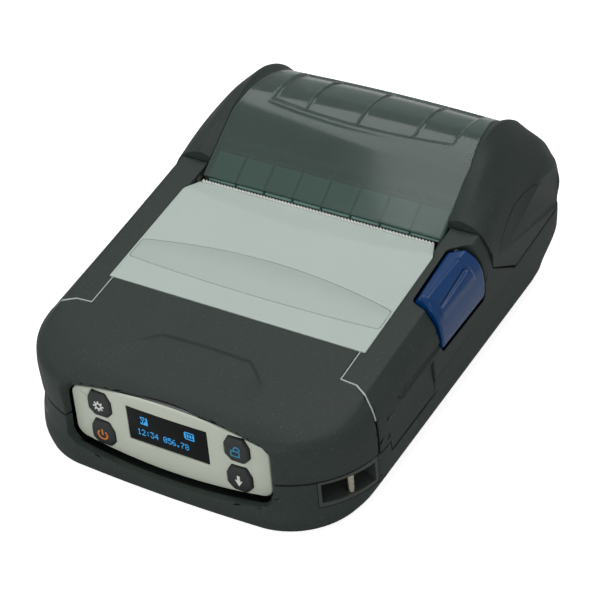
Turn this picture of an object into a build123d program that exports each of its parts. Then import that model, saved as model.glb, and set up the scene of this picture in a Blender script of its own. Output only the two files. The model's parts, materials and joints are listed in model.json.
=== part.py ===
from build123d import *
import math
import os

os.makedirs("parts", exist_ok=True)

# Portable receipt printer for 80 mm paper, in millimetres.
# X runs to the right of someone facing the display, Y runs from the display to the hinge, Z is up.
# The origin is under the middle of the printer, on the surface that its feet stand on.

# Paper, and the overall body around it
paper_width = 80.0
side_room = 17.6
body_width = paper_width + 2 * side_room
body_length = 156.0
foot_height = 0.8
wall = 2.4
seam = 0.3
side_taper = 1.6
front_bow = 2.4
half_width = body_width / 2
front_y = -body_length / 2
rear_y = body_length / 2

# Parting plane between the lower case and everything above it
part_front_z = 16.9
part_rear_z = 24.2
part_slope = (part_rear_z - part_front_z) / body_length
part_angle = math.degrees(math.atan(part_slope))


def part_z(y):
    return part_front_z + (y - front_y) * part_slope


# Sloping top of the body, measured at its front and rear ends
deck_front_z = 32.4
deck_rear_z = 50.2
deck_slope = (deck_rear_z - deck_front_z) / body_length


def deck_z(y):
    return deck_front_z + (y - front_y) * deck_slope


deck_angle = math.degrees(math.atan(deck_slope))

# Paper bay and lid
bay_width = paper_width + 2.4
bay_wall = 1.0
bay_radius = 25.2
arch_radius = 28.0
arch_y = rear_y - arch_radius
arch_z = part_rear_z + 6.3
lid_front_y = arch_y - 33.4
lid_front_z = deck_z(lid_front_y) - 1.0
arm_front_y = arch_y - 28.4
arm_knee_z = 33.0
arm_foot_y = arch_y - 12.0
arm_inner_x = bay_width / 2 + 0.7
arm_outer_x = half_width - 1.2
window_thickness = 2.0

# Light top panel, name plate and tear bar
panel_width = bay_width + 4.8
panel_front_y = front_y + 43.3
panel_thickness = 2.0
roof_thickness = 1.8
panel_clearance = 0.2
plate_width = panel_width - 1.6
plate_depth = 14.5
plate_end_depth = 7.8
plate_front_y = panel_front_y + 8.5
plate_thickness = 0.5
plate_gap = 0.15
tear_width = paper_width + 2.0
tear_y = arch_y - 35.8
tear_pitch = 1.1
tear_height = 5.0
tear_thickness = 0.6
tear_drop = 1.3
panel_corner_y = tear_y - 6.6

# Lid hinge
barrel_radius = 3.4
hinge_y = rear_y - barrel_radius
hinge_z = part_z(rear_y - barrel_radius) + barrel_radius + seam
hinge_pin_radius = 1.2
hinge_lug_x = 31.0
hinge_lug_width = 5.0
pin_clearance = 0.06

# Platen, gears and print mechanism
platen_radius = 5.5
platen_y = arch_y - 28.8
platen_z = deck_z(platen_y) - 8.1
shaft_radius = 2.5
platen_half_length = paper_width / 2 - 0.4
bush_radius = 4.0
bush_inner_x = platen_half_length + 0.6
bush_outer_x = bush_inner_x + 3.7
ear_thickness = 1.5
gear_module = 0.5
platen_teeth = 20
idler_teeth = 22
pinion_teeth = 12
gear_width = 3.0
mesh_gap = 0.14
side_plate_x = bay_width / 2 + 1.4
side_plate_thickness = 1.2
gear_x = -side_plate_x - 3.6
motor_radius = 7.5
motor_length = 12.0
head_thickness = 1.0
shaft_overhang_x = side_plate_x + 8.8

# Display bezel and its buttons
bezel_width = 66.4
bezel_top_z = 31.7
bezel_bottom_z = 6.7
bezel_end_top_z = 27.0
bezel_end_bottom_z = 9.2
bezel_front_y = front_y + 4.2
bezel_bow = 1.2
bezel_thickness = 2.2
bezel_gap = 0.9
seal_gap = 0.12
bezel_corner = 3.6
display_width = 27.0
display_height = 12.2
display_z = 20.9
key_x = 23.1
key_upper_z = 24.0
key_lower_z = 13.2
key_width = 8.0
key_height = 9.0
key_proud = 0.8
key_travel = 1.0

# Latch button on the right shoulder
latch_tilt = 36.9
latch_origin = (half_width - 7.0, arch_y - 49.0, 36.0)
latch_depth = 3.0
latch_gap = 0.5
rod_radius = 1.5
rod_y = platen_y - 20.4
rod_z = platen_z - 4.6
hook_thickness = 1.6
hook_xs = (gear_x - 3.8, side_plate_x + 4.4)
latch_proud = 0.7

# Ports and their flap on the right flank
flap_front_y = front_y + 32.0
flap_rear_y = flap_front_y + 26.8
flap_bottom_z = 14.8
flap_top_z = 26.6
flap_thickness = 1.6
flap_barrel_radius = 0.6
flap_gap_x = half_width - flap_thickness - 1.0
port_front_y = flap_front_y + 2.0
port_rear_y = flap_rear_y - 1.8
port_bottom_z = 16.0
port_top_z = 25.8
jack_y = flap_front_y + 8.0
usb_y = flap_rear_y - 7.3

# Strap pockets in the front corners
pocket_start = 12.0
pocket_end = 52.0
pocket_floor_z = 9.8
pocket_depth = 8.0
strap_pin_radius = 1.2
strap_pin_angle = 31.0

# Battery
battery_width = 66.0
battery_length = 40.0
battery_height = 14.6
battery_y = front_y + 48.0

# Latch direction: out of the shoulder, leaning towards the flank
lean = math.radians(latch_tilt)
latch_plane = Plane(origin=latch_origin, x_dir=(0, 1, 0), z_dir=(math.sin(lean), 0, math.cos(lean)))


def outline(plane, front_half, rear_half, front, rear, front_radius, rear_radius):
    """Plan of the body on a plane: bowed front, straight tapering sides and four round corners."""
    with BuildSketch(plane) as plan:
        with BuildLine():
            nose = ThreePointArc(
                (-front_half, front + front_bow), (0, front), (front_half, front + front_bow)
            )
            Line(nose @ 1, (rear_half, rear))
            Line((rear_half, rear), (-rear_half, rear))
            Line((-rear_half, rear), nose @ 0)
        make_face()
        fillet(plan.vertices().sort_by(Axis.Y)[:2], front_radius)
        fillet(plan.vertices().sort_by(Axis.Y)[-2:], rear_radius)
    return plan.sketch


# Lower case: heights, and how far each plan lies inside the widest one
case_heights = (foot_height, foot_height + 2.7, 9.0, 16.5, 29.0)
case_insets = (5.2, 3.0, 0.6, 0.1, 0.7)
case_front_insets = (0.0, 0.0, 0.8, 0.9, 2.2)
case_radii = (22.4, 24.0, 28.5, 30.5, 29.5)
case_rear_radii = (24.0, 25.0, 24.0, 12.5, 9.5)


def case_solid(inset, floor):
    """Lower body form, moved inwards by inset and starting at floor."""
    with BuildPart() as form:
        stations = zip(case_heights, case_insets, case_front_insets, case_radii, case_rear_radii)
        for height, side, front, corner, rear_corner in stations:
            level = max(height, floor) if height == foot_height else height
            plan = outline(
                Plane.XY.offset(level),
                half_width - side - inset,
                half_width - side_taper - side - inset,
                front_y + front + inset,
                rear_y - 0.6 * side - inset,
                corner - inset,
                rear_corner - inset,
            )
            add(plan)
        loft()
    return form.part


# Upper body: tilted plans from the parting plane up to the sloping deck
upper_shares = (0.0, 0.36, 0.74, 1.0)
upper_insets = (0.25, 0.5, 2.5, 6.6)
upper_rear_insets = (0.65, 0.9, 2.2, 5.2)
upper_front_insets = (1.0, 1.2, 1.8, 4.5)
upper_radii = (30.5, 29.0, 25.3, 19.5)


def upper_plane(share):
    """Plane that turns from the parting plane to the deck as share goes from 0 to 1."""
    low = part_z(0) + share * (deck_z(0) - part_z(0))
    angle = part_angle + share * (deck_angle - part_angle)
    tilt = math.radians(angle)
    return Plane(origin=(0, 0, low), x_dir=(1, 0, 0), z_dir=(0, -math.sin(tilt), math.cos(tilt)))


def upper_solid(inset, drop):
    """Upper body form, moved inwards by inset, with its top lowered by drop."""
    with BuildPart() as form:
        stations = zip(upper_shares, upper_insets, upper_rear_insets, upper_front_insets, upper_radii)
        for share, side, rear_side, front, corner in stations:
            plane = upper_plane(share)
            level = plane.offset(-drop) if share == 1.0 else plane
            plan = outline(
                level,
                half_width - side - inset,
                half_width - rear_side - inset,
                front_y + front + inset,
                arm_foot_y + 12,
                corner - inset,
                1.0,
            )
            add(plan)
        loft()
    return form.part


case_outer = case_solid(0, foot_height)
case_inner = case_solid(wall, foot_height + wall)
upper_outer = upper_solid(0, 0)
upper_inner = upper_solid(wall, panel_thickness + roof_thickness)
cover_inner = upper_solid(wall, wall)


def finish(part, name):
    """Label a finished piece and write it out."""
    part.label = name
    export_step(part, f"parts/{name}.step")


def side_prism(points, x_low, x_high):
    """Prism across the printer from x_low to x_high, from corners given as (y, z)."""
    with BuildPart() as prism:
        with BuildSketch(Plane.YZ.offset(x_low)):
            with BuildLine():
                Polyline(*points, close=True)
            make_face()
        extrude(amount=x_high - x_low)
    return prism.part


def plan_prism(points, z_low, z_high):
    """Upright prism from corners given as (x, y)."""
    with BuildPart() as prism:
        with BuildSketch(Plane.XY.offset(z_low)):
            with BuildLine():
                Polyline(*points, close=True)
            make_face()
        extrude(amount=z_high - z_low)
    return prism.part


def block(x_low, x_high, y_low, y_high, z_low, z_high):
    """Box given by its two corners."""
    return plan_prism(
        [(x_low, y_low), (x_high, y_low), (x_high, y_high), (x_low, y_high)], z_low, z_high
    )


def rod_x(y, z, radius, x_low, x_high):
    """Round bar along X."""
    with BuildPart() as bar:
        with BuildSketch(Plane.YZ.offset(x_low)):
            with Locations((y, z)):
                Circle(radius)
        extrude(amount=x_high - x_low)
    return bar.part


def post(x, y, radius, z_low, z_high):
    """Upright round bar."""
    with BuildPart() as bar:
        with BuildSketch(Plane.XY.offset(z_low)):
            with Locations((x, y)):
                Circle(radius)
        extrude(amount=z_high - z_low)
    return bar.part


def sector(inner, outer, start, end, z_low, z_high):
    """Ring sector about the front right corner, angles measured from +X towards -Y."""
    steps = [start + (end - start) * k / 4 for k in range(5)]
    rim = [
        (corner_x + outer * math.cos(math.radians(a)), corner_y - outer * math.sin(math.radians(a)))
        for a in steps
    ]
    hub = [
        (corner_x + inner * math.cos(math.radians(a)), corner_y - inner * math.sin(math.radians(a)))
        for a in reversed(steps)
    ]
    return plan_prism(rim + hub, z_low, z_high)


big = 2 * body_length
corner_radius = 28.0
corner_x = half_width - corner_radius
corner_y = front_y + front_bow + corner_radius
corner_reach = corner_radius + 12

# Everything above or below the parting plane, with half the seam taken from each side
below_part = side_prism(
    [(-big, -big), (big, -big), (big, part_z(big) - seam / 2), (-big, part_z(-big) - seam / 2)], -big, big
)
above_part = side_prism(
    [(-big, part_z(-big) + seam / 2), (big, part_z(big) + seam / 2), (big, big), (-big, big)], -big, big
)

# Side view of the fixed upper body, ending at its seam with the lid
arm_foot_z = part_z(arm_foot_y)
body_side = [
    (arm_front_y - seam, big),
    (arm_front_y - seam, arm_knee_z - seam),
    (arm_foot_y - seam, arm_foot_z - seam),
    (arm_foot_y - seam, -big),
    (-big, -big),
    (-big, big),
]


def front_plane(x, y, z):
    """Upright plane facing the front of the printer."""
    return Plane(origin=(x, y, z), x_dir=(1, 0, 0), z_dir=(0, -1, 0))


def bezel_face(grow, y):
    """Elevation of the bezel at y, grown by a margin, with arched top and bottom edges."""
    half = bezel_width / 2 + grow
    with BuildSketch(front_plane(0, y, 0)) as face:
        with BuildLine():
            top = ThreePointArc(
                (-half, bezel_end_top_z + grow), (0, bezel_top_z + grow), (half, bezel_end_top_z + grow)
            )
            low = ThreePointArc(
                (half, bezel_end_bottom_z - grow),
                (0, bezel_bottom_z - grow),
                (-half, bezel_end_bottom_z - grow),
            )
            Line(top @ 1, low @ 0)
            Line(low @ 1, top @ 0)
        make_face()
        fillet(face.vertices(), bezel_corner)
    return face.sketch


def bezel_prism(grow, front, back):
    """The bezel's elevation carried from y = front to y = back."""
    with BuildPart() as prism:
        add(bezel_face(grow, front))
        extrude(amount=back - front, dir=(0, 1, 0))
    return prism.part


def bowed_plate(face_y, thickness, half):
    """Upright plate with the bezel's bow, its front face at face_y in the middle."""
    with BuildPart() as plate:
        with BuildSketch(Plane.XY):
            with BuildLine():
                front = ThreePointArc((-half, face_y + bezel_bow), (0, face_y), (half, face_y + bezel_bow))
                back = ThreePointArc(
                    (half, face_y + bezel_bow + thickness),
                    (0, face_y + thickness),
                    (-half, face_y + bezel_bow + thickness),
                )
                Line(front @ 1, back @ 0)
                Line(back @ 1, front @ 0)
            make_face()
        extrude(amount=big)
    return plate.part


def plate_form(grow):
    """Plan of the name plate: a lens with two blunt ends."""
    half = plate_width / 2 + grow
    end_front = plate_front_y + (plate_depth - plate_end_depth) * 0.2 - grow
    end_back = end_front + plate_end_depth + 2 * grow
    with BuildPart() as form:
        with BuildSketch(Plane.XY):
            with BuildLine():
                low = ThreePointArc((-half, end_front), (0, plate_front_y - grow), (half, end_front))
                high = ThreePointArc(
                    (half, end_back), (0, plate_front_y + plate_depth + grow), (-half, end_back)
                )
                Line(low @ 1, high @ 0)
                Line(high @ 1, low @ 0)
            make_face()
        extrude(amount=big)
    return form.part


# Lower case
bay_opening_half = battery_width / 2 + 0.6
bay_front = battery_y - battery_length / 2 - 0.6
bay_back = battery_y + battery_length / 2 + 0.6
battery_bottom = foot_height + 0.6
battery_top = battery_bottom + battery_height
boss_x = half_width - 10.6
boss_ys = (front_y + 66.0, rear_y - 34.0)
boss_radius = 3.0
screw_radius = 1.4
screw_head_radius = 2.5
screw_head_height = 2.0
screw_length = 11.0
foot_radius = 4.5
foot_x = half_width - 19.6
foot_ys = (front_y + 16.0, rear_y - 18.0)
foot_recess = 0.8
latch_slot_length = 9.0
latch_slot_width = 14.0

with BuildPart() as base_case:
    add(case_outer)
    add(case_inner, mode=Mode.SUBTRACT)
    for boss_y in boss_ys:
        for side in (-1, 1):
            add(post(side * boss_x, boss_y, boss_radius, foot_height + 0.5, part_z(boss_y) - 2.0))
    for foot_y in foot_ys:
        for side in (-1, 1):
            add(post(side * foot_x, foot_y, foot_radius + 1.2, foot_height, foot_height + 2.8))
    add(block(-bay_opening_half - wall, bay_opening_half + wall, bay_front - wall, bay_back + wall,
              foot_height + 0.8, battery_top + 0.9))
    add(sector(corner_radius - pocket_depth - 3.4, corner_radius - 1.0, pocket_start - 5, pocket_end + 5,
               pocket_floor_z - 2.4, part_z(front_y) + 6))
    add(mirror(sector(corner_radius - pocket_depth - 3.4, corner_radius - 1.0, pocket_start - 5,
                      pocket_end + 5, pocket_floor_z - 2.4, part_z(front_y) + 6), about=Plane.YZ))
    add(below_part, mode=Mode.INTERSECT)
    add(block(-bay_opening_half, bay_opening_half, bay_front, bay_back, -1, battery_top + 0.4),
        mode=Mode.SUBTRACT)
    for boss_y in boss_ys:
        for side in (-1, 1):
            add(post(side * boss_x, boss_y, screw_radius + 0.05, -1, screw_length + screw_head_height + 1.6),
                mode=Mode.SUBTRACT)
            add(post(side * boss_x, boss_y, screw_head_radius + 0.3, -1,
                     foot_height + screw_head_height + 0.3), mode=Mode.SUBTRACT)
    for foot_y in foot_ys:
        for side in (-1, 1):
            add(post(side * foot_x, foot_y, foot_radius + 0.1, -1, foot_height + foot_recess),
                mode=Mode.SUBTRACT)
    add(sector(corner_radius - pocket_depth - 1.2, corner_reach, pocket_start - 1, pocket_end + 1,
               pocket_floor_z - 1.4, big), mode=Mode.SUBTRACT)
    add(mirror(sector(corner_radius - pocket_depth - 1.2, corner_reach, pocket_start - 1, pocket_end + 1,
                      pocket_floor_z - 1.4, big), about=Plane.YZ), mode=Mode.SUBTRACT)
    add(bezel_prism(bezel_gap, front_y - 10, bezel_front_y + 12), mode=Mode.SUBTRACT)
    add(block(flap_gap_x, big, flap_front_y - seam, flap_rear_y + seam, flap_bottom_z - seam, big),
        mode=Mode.SUBTRACT)
    add(block(half_width - 9, big, port_front_y, port_rear_y, port_bottom_z, big), mode=Mode.SUBTRACT)
    add(rod_x(hinge_y, hinge_z, barrel_radius + seam, -half_width, half_width), mode=Mode.SUBTRACT)
    for side in (-1, 1):
        inner = side * hinge_lug_x - hinge_lug_width / 2
        add(block(inner, inner + hinge_lug_width, hinge_y - barrel_radius, hinge_y + barrel_radius,
                  part_z(rear_y) - 2, hinge_z))
        add(rod_x(hinge_y, hinge_z, barrel_radius, inner, inner + hinge_lug_width))
        add(rod_x(hinge_y, hinge_z, hinge_pin_radius, inner - 1, inner + hinge_lug_width + 1),
            mode=Mode.SUBTRACT)
    add(block(-latch_slot_width / 2, latch_slot_width / 2, bay_back, bay_back + latch_slot_length,
              -1, foot_height + 1.4), mode=Mode.SUBTRACT)
finish(base_case.part, "base_case")

# Front cover and the fixed upper body behind it
notch_x = panel_width / 2 - 1.6
notch_y = panel_front_y - 11.9
notch_step_x = notch_x + 5.2
notch_step_y = notch_y - 0.4
notch_flank_y = notch_y - 6.4
notch_slope = (notch_flank_y - notch_step_y) / (half_width - notch_step_x)


def cover_plan(grow):
    """Plan of the front cover's region, grown rearwards by a margin."""
    far_y = notch_step_y + notch_slope * (big - notch_step_x)
    right = [
        (big, far_y + grow),
        (notch_step_x + grow, notch_step_y + grow),
        (notch_x + grow, notch_y + grow),
        (notch_x + grow, panel_front_y - panel_clearance),
    ]
    left = [(-x, y) for x, y in reversed(right)]
    return [(-big, -2 * big)] + [(big, -2 * big)] + right + left


with BuildPart() as front_cover:
    add(upper_outer)
    add(cover_inner, mode=Mode.SUBTRACT)
    add(above_part, mode=Mode.INTERSECT)
    add(plan_prism(cover_plan(0), -big, big), mode=Mode.INTERSECT)
    add(bezel_prism(bezel_gap, front_y - 10, bezel_front_y + 12), mode=Mode.SUBTRACT)
finish(front_cover.part, "front_cover")

panel_rear_y = tear_y - 0.6
panel_half = panel_width / 2


def panel_plan(grow):
    """Plan of the top panel: a rectangle whose rear corners are cut back to the tear bar."""
    return [
        (-panel_half - grow, panel_front_y - grow),
        (panel_half + grow, panel_front_y - grow),
        (panel_half + grow, panel_corner_y + grow),
        (tear_width / 2 + grow, panel_rear_y),
        (-tear_width / 2 - grow, panel_rear_y),
        (-panel_half - grow, panel_corner_y + grow),
    ]


panel_bend_y = panel_corner_y - 4.0
recess_side = [
    (-big, deck_z(-big) - panel_thickness - 0.1),
    (panel_bend_y - 0.4, deck_z(panel_bend_y) - panel_thickness - 0.1),
    (tear_y, deck_z(tear_y) - panel_thickness - tear_drop - 0.1),
    (big, deck_z(tear_y) - panel_thickness - tear_drop - 0.1),
    (big, big),
    (-big, big),
]


def latch_outline(grow):
    """Outline of the latch button seen along its travel, grown by a margin."""
    with BuildSketch(latch_plane) as face:
        with BuildLine():
            Polyline(
                (11.0, 6.9),
                (14.6, 3.8),
                (14.6, -5.0),
                (13.4, -10.2),
                (-14.2, -10.2),
                (-13.6, 0.6),
                (-11.6, 5.0),
                close=True,
            )
        make_face()
        fillet(face.vertices(), 1.4)
        if grow > 0:
            offset(amount=grow)
    return face.sketch


def latch_prism(grow, low, high):
    """Latch outline carried along its travel between two heights above its origin."""
    with BuildPart() as prism:
        add(latch_outline(grow))
        extrude(amount=high, dir=latch_plane.z_dir)
        add(latch_outline(grow))
        extrude(amount=low, dir=latch_plane.z_dir)
    return prism.part


lid_gap_x = arm_inner_x + 0.4
gear_room_x = -gear_x + gear_width / 2 + 0.8
gear_room_y = platen_y - platen_teeth * gear_module / 2 - 1.6
gear_room_z = platen_z + platen_teeth * gear_module / 2 + 1.0

# Seat that the top panel drops into
with BuildPart() as recess:
    add(plan_prism(panel_plan(panel_clearance), -big, big))
    add(side_prism(recess_side, -big, big), mode=Mode.INTERSECT)

with BuildPart() as upper_body:
    add(upper_outer)
    add(upper_inner, mode=Mode.SUBTRACT)
    add(above_part, mode=Mode.INTERSECT)
    add(side_prism(body_side, -big, big), mode=Mode.INTERSECT)
    add(plan_prism(cover_plan(seam), -big, big), mode=Mode.SUBTRACT)
    add(recess.part, mode=Mode.SUBTRACT)
    add(block(-lid_gap_x, lid_gap_x, panel_bend_y - 0.5, big, -big, big), mode=Mode.SUBTRACT)
    for side in (-1, 1):
        low = min(side * lid_gap_x, side * gear_room_x)
        add(block(low, low + gear_room_x - lid_gap_x, gear_room_y, big, -big, gear_room_z),
            mode=Mode.SUBTRACT)
    add(latch_prism(latch_gap, -14, 12), mode=Mode.SUBTRACT)
    add(block(flap_gap_x, big, flap_front_y - seam, flap_rear_y + seam, -big, flap_top_z + seam),
        mode=Mode.SUBTRACT)
    add(block(half_width - 9, big, port_front_y, port_rear_y, -big, port_top_z), mode=Mode.SUBTRACT)
finish(upper_body.part, "upper_body")

with BuildPart() as plate_seat:
    add(plate_form(plate_gap))
    add(side_prism([
        (-big, deck_z(-big) - plate_thickness),
        (big, deck_z(big) - plate_thickness),
        (big, big),
        (-big, big),
    ], -big, big), mode=Mode.INTERSECT)

with BuildPart() as top_panel:
    add(plan_prism(panel_plan(0), -big, big))
    add(side_prism([
        (panel_front_y - 1, deck_z(panel_front_y - 1)),
        (panel_front_y - 1, deck_z(panel_front_y - 1) - panel_thickness),
        (panel_bend_y, deck_z(panel_bend_y) - panel_thickness),
        (tear_y, deck_z(tear_y) - panel_thickness - tear_drop),
        (tear_y, deck_z(tear_y) - tear_drop),
        (panel_bend_y, deck_z(panel_bend_y)),
    ], -big, big), mode=Mode.INTERSECT)
    add(plate_seat.part, mode=Mode.SUBTRACT)
finish(top_panel.part, "top_panel")

with BuildPart() as name_plate:
    add(plate_form(0))
    add(side_prism([
        (-big, deck_z(-big) - plate_thickness + 0.02),
        (big, deck_z(big) - plate_thickness + 0.02),
        (big, deck_z(big) - 0.06),
        (-big, deck_z(-big) - 0.06),
    ], -big, big), mode=Mode.INTERSECT)
finish(name_plate.part, "name_plate")

# Display bezel, lens, display module and keys
bezel_half = bezel_width / 2
face_offset = bezel_bow * (key_x / bezel_half) ** 2
key_face_y = bezel_front_y + face_offset - key_proud
key_back_y = bezel_front_y + face_offset + bezel_thickness + 1.25
key_flange = 0.5


def key_outline(x, y, z, grow):
    """Uneven octagon of a key, seen from the front."""
    half_w = key_width / 2 + grow
    half_h = key_height / 2 + grow
    with BuildSketch(front_plane(x, y, z)) as face:
        with BuildLine():
            Polyline(
                (-half_w, 0.25 * half_h),
                (-0.55 * half_w, half_h),
                (0.62 * half_w, half_h),
                (half_w, 0.35 * half_h),
                (half_w, -0.45 * half_h),
                (0.5 * half_w, -half_h),
                (-0.5 * half_w, -half_h),
                (-half_w, -0.55 * half_h),
                close=True,
            )
        make_face()
        fillet(face.vertices(), 0.7)
    return face.sketch


def key_prism(x, z, grow, front, back):
    """Key outline carried from y = front to y = back."""
    with BuildPart() as prism:
        add(key_outline(x, front, z, grow))
        extrude(amount=back - front, dir=(0, 1, 0))
    return prism.part


key_places = {
    "setup_key": (-key_x, key_upper_z),
    "power_key": (-key_x, key_lower_z),
    "lock_key": (key_x, key_upper_z),
    "feed_key": (key_x, key_lower_z),
}
lens_gap = 0.15
lens_thickness = 1.0

with BuildPart() as display_bezel:
    add(bowed_plate(bezel_front_y, bezel_thickness, bezel_half))
    add(bezel_prism(0, front_y, front_y + 20), mode=Mode.INTERSECT)
    for x, z in key_places.values():
        add(key_prism(x, z, 0.25, front_y, front_y + 20), mode=Mode.SUBTRACT)
    add(block(-display_width / 2 - lens_gap, display_width / 2 + lens_gap, front_y, front_y + 20,
              display_z - display_height / 2 - lens_gap, display_z + display_height / 2 + lens_gap),
        mode=Mode.SUBTRACT)
finish(display_bezel.part, "display_bezel")

for name, (x, z) in key_places.items():
    with BuildPart() as key:
        add(key_prism(x, z, 0, key_face_y, key_back_y))
        add(key_prism(x, z, key_flange, key_back_y - 0.8, key_back_y))
    finish(key.part, name)

lens_y = bezel_front_y + 0.35
with BuildPart() as display_lens:
    add(block(-display_width / 2, display_width / 2, lens_y, lens_y + lens_thickness,
              display_z - display_height / 2, display_z + display_height / 2))
finish(display_lens.part, "display_lens")

module_y = lens_y + lens_thickness + 0.2
module_half = display_width / 2 + 3.4
module_back_y = bezel_front_y + bezel_thickness + bezel_bow * (module_half / bezel_half) ** 2 + 0.1
module_thickness = 1.6
with BuildPart() as display_module:
    add(block(-display_width / 2, display_width / 2, module_y, module_back_y,
              display_z - display_height / 2, display_z + display_height / 2))
    add(block(-module_half, module_half, module_back_y, module_back_y + module_thickness,
              display_z - display_height / 2 - 2.2, display_z + display_height / 2 + 1.6))
finish(display_module.part, "display_module")

key_board_y = key_back_y + key_travel + 0.2
with BuildPart() as key_board:
    add(block(-bezel_half + 1.5, bezel_half - 1.5, key_board_y, key_board_y + 1.6,
              bezel_end_bottom_z, bezel_end_top_z))
    for x, z in key_places.values():
        add(block(x - 1.6, x + 1.6, key_back_y + key_travel + 0.05, key_board_y, z - 1.6, z + 1.6))
    add(block(-11.0, 11.0, module_back_y + module_thickness + 0.05, key_board_y,
              display_z - 1.5, display_z + 1.5))
finish(key_board.part, "key_board")

seal_inset = 0.5
with BuildPart() as bezel_seal:
    add(bowed_plate(bezel_front_y + seal_inset, bezel_thickness, bezel_half + bezel_gap))
    add(bezel_prism(bezel_gap - seal_gap, front_y, front_y + 20), mode=Mode.INTERSECT)
    add(bezel_prism(seal_gap, front_y, front_y + 20), mode=Mode.SUBTRACT)
finish(bezel_seal.part, "bezel_seal")

# Lid: two side arms joined by a rear wall, a window over the roll, and the hinge barrel
arm_width = arm_outer_x - arm_inner_x
station_xs = [arm_inner_x + share * arm_width for share in (0.0, 0.23, 0.49, 0.765, 1.0)]
station_tops = (
    ((-20.0, 20.4), (-10.0, 26.6), (0.0, 29.4), (10.0, 27.6), (20.0, 21.6), (26.0, 13.6)),
    ((-20.0, 20.9), (-10.0, 25.6), (0.0, 26.6), (10.0, 24.4), (20.0, 19.4), (26.0, 12.8)),
    ((-20.0, 19.1), (-10.0, 22.0), (0.0, 22.8), (10.0, 21.0), (19.5, 17.4), (25.4, 12.0)),
    ((-21.0, 15.2), (-12.0, 16.7), (-1.0, 17.2), (9.0, 16.2), (17.5, 13.8), (23.0, 9.6)),
    ((-22.5, 3.8), (-15.0, 4.9), (-7.0, 7.8), (1.0, 10.6), (9.0, 12.2), (16.0, 10.2)),
)
station_front_tops = (45.6, 46.7, 45.9, 43.4, 37.5)
station_rears = (rear_y, rear_y, rear_y - 0.2, rear_y - 1.2, rear_y - 5.8)


def arm_section(x, front_top, tops, rear, inset):
    """Side view of a lid arm at one x: foot, rear wall, crowned top and front edge."""
    foot = seam / 2 - inset
    knee = arm_front_y + (0.5 if x == arm_outer_x else 0)
    with BuildSketch(Plane.YZ.offset(x)) as section:
        with BuildLine():
            points = [(knee, front_top - inset)]
            points += [(arch_y + dy, arch_z + dz - inset) for dy, dz in tops]
            top = Spline(*points, (rear - inset, hinge_z + 1.5))
            Line(top @ 1, (rear - inset, part_z(rear) + foot))
            Line((rear - inset, part_z(rear) + foot), (arm_foot_y, arm_foot_z + foot))
            Line((arm_foot_y, arm_foot_z + foot), (knee, arm_knee_z))
            Line((knee, arm_knee_z), top @ 0)
        make_face()
    return section.sketch


with BuildPart() as arm_form:
    for x, front_top, tops, rear in zip(station_xs, station_front_tops, station_tops, station_rears):
        add(arm_section(x, front_top, tops, rear, 0))
    loft()

# Nothing behind the hinge axis and below it may stand further out than the barrel
with BuildPart() as hinge_relief:
    add(block(-big, big, hinge_y, big, -big, hinge_z))
    add(rod_x(hinge_y, hinge_z, barrel_radius, -big, big), mode=Mode.SUBTRACT)

arm_pocket_front_y = arm_front_y - 5
arm_pocket_inner = [(arm_pocket_front_y, -big), (arm_pocket_front_y, arch_z + 11.1)] + [
    (arch_y + dy, arch_z + dz)
    for dy, dz in ((-20.0, 14.1), (-10.0, 19.0), (0.0, 20.0), (10.0, 18.3), (18.0, 14.0), (23.6, 5.5))
] + [(arch_y + 23.6, -big)]
arm_pocket_outer = [(arm_pocket_front_y, -big), (arm_pocket_front_y, arch_z + 4.5)] + [
    (arch_y + dy, arch_z + dz)
    for dy, dz in ((-20.0, 9.5), (-10.0, 13.2), (0.0, 14.2), (10.0, 13.2), (17.0, 10.0), (20.0, 3.5))
] + [(arch_y + 20.0, -big)]
arm_pocket_low = arm_inner_x + 2.3
arm_pocket_middle = arm_inner_x + 0.45 * arm_width
arm_pocket_high = arm_outer_x - 4.0

with BuildPart() as right_arm:
    add(arm_form.part)
    add(side_prism(arm_pocket_inner, arm_pocket_low, arm_pocket_middle), mode=Mode.SUBTRACT)
    add(side_prism(arm_pocket_outer, arm_pocket_middle - 0.1, arm_pocket_high), mode=Mode.SUBTRACT)
    add(block(0, arm_pocket_low + 1, 0, platen_y + bush_radius + 0.8, -big,
              platen_z + 5.8), mode=Mode.SUBTRACT)
    add(rod_x(platen_y, platen_z, shaft_radius + 0.5, 0, shaft_overhang_x + 0.5), mode=Mode.SUBTRACT)
    add(block(0, half_width, hinge_y - 3.0, big, -big, part_z(rear_y) + seam), mode=Mode.SUBTRACT)

window_reach = math.hypot(arch_y - lid_front_y, lid_front_z - arch_z)
window_tangent = math.degrees(math.acos(arch_radius / window_reach))
window_bearing = math.degrees(math.atan2(lid_front_z - arch_z, lid_front_y - arch_y))
window_start = window_bearing - window_tangent
window_end = 26.0


def arch_point(radius, angle):
    """Point on the arch at an angle from +Y."""
    return (
        arch_y + radius * math.cos(math.radians(angle)),
        arch_z + radius * math.sin(math.radians(angle)),
    )


def arch_shell(outer, inner, start, end, x_low, x_high):
    """Part of the arch between two radii and two angles."""
    middle = (start + end) / 2
    with BuildPart() as shell:
        with BuildSketch(Plane.YZ.offset(x_low)):
            with BuildLine():
                top = ThreePointArc(
                    arch_point(outer, start), arch_point(outer, middle), arch_point(outer, end)
                )
                low = ThreePointArc(
                    arch_point(inner, end), arch_point(inner, middle), arch_point(inner, start)
                )
                Line(top @ 1, low @ 0)
                Line(low @ 1, top @ 0)
            make_face()
        extrude(amount=x_high - x_low)
    return shell.part


slope_up = math.radians(window_start - 90)
frame_x = arm_inner_x - 0.15
taper_y = (36.0, 62.0)
taper_x = frame_x - 4.3
rail_rise = 0.5


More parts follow.
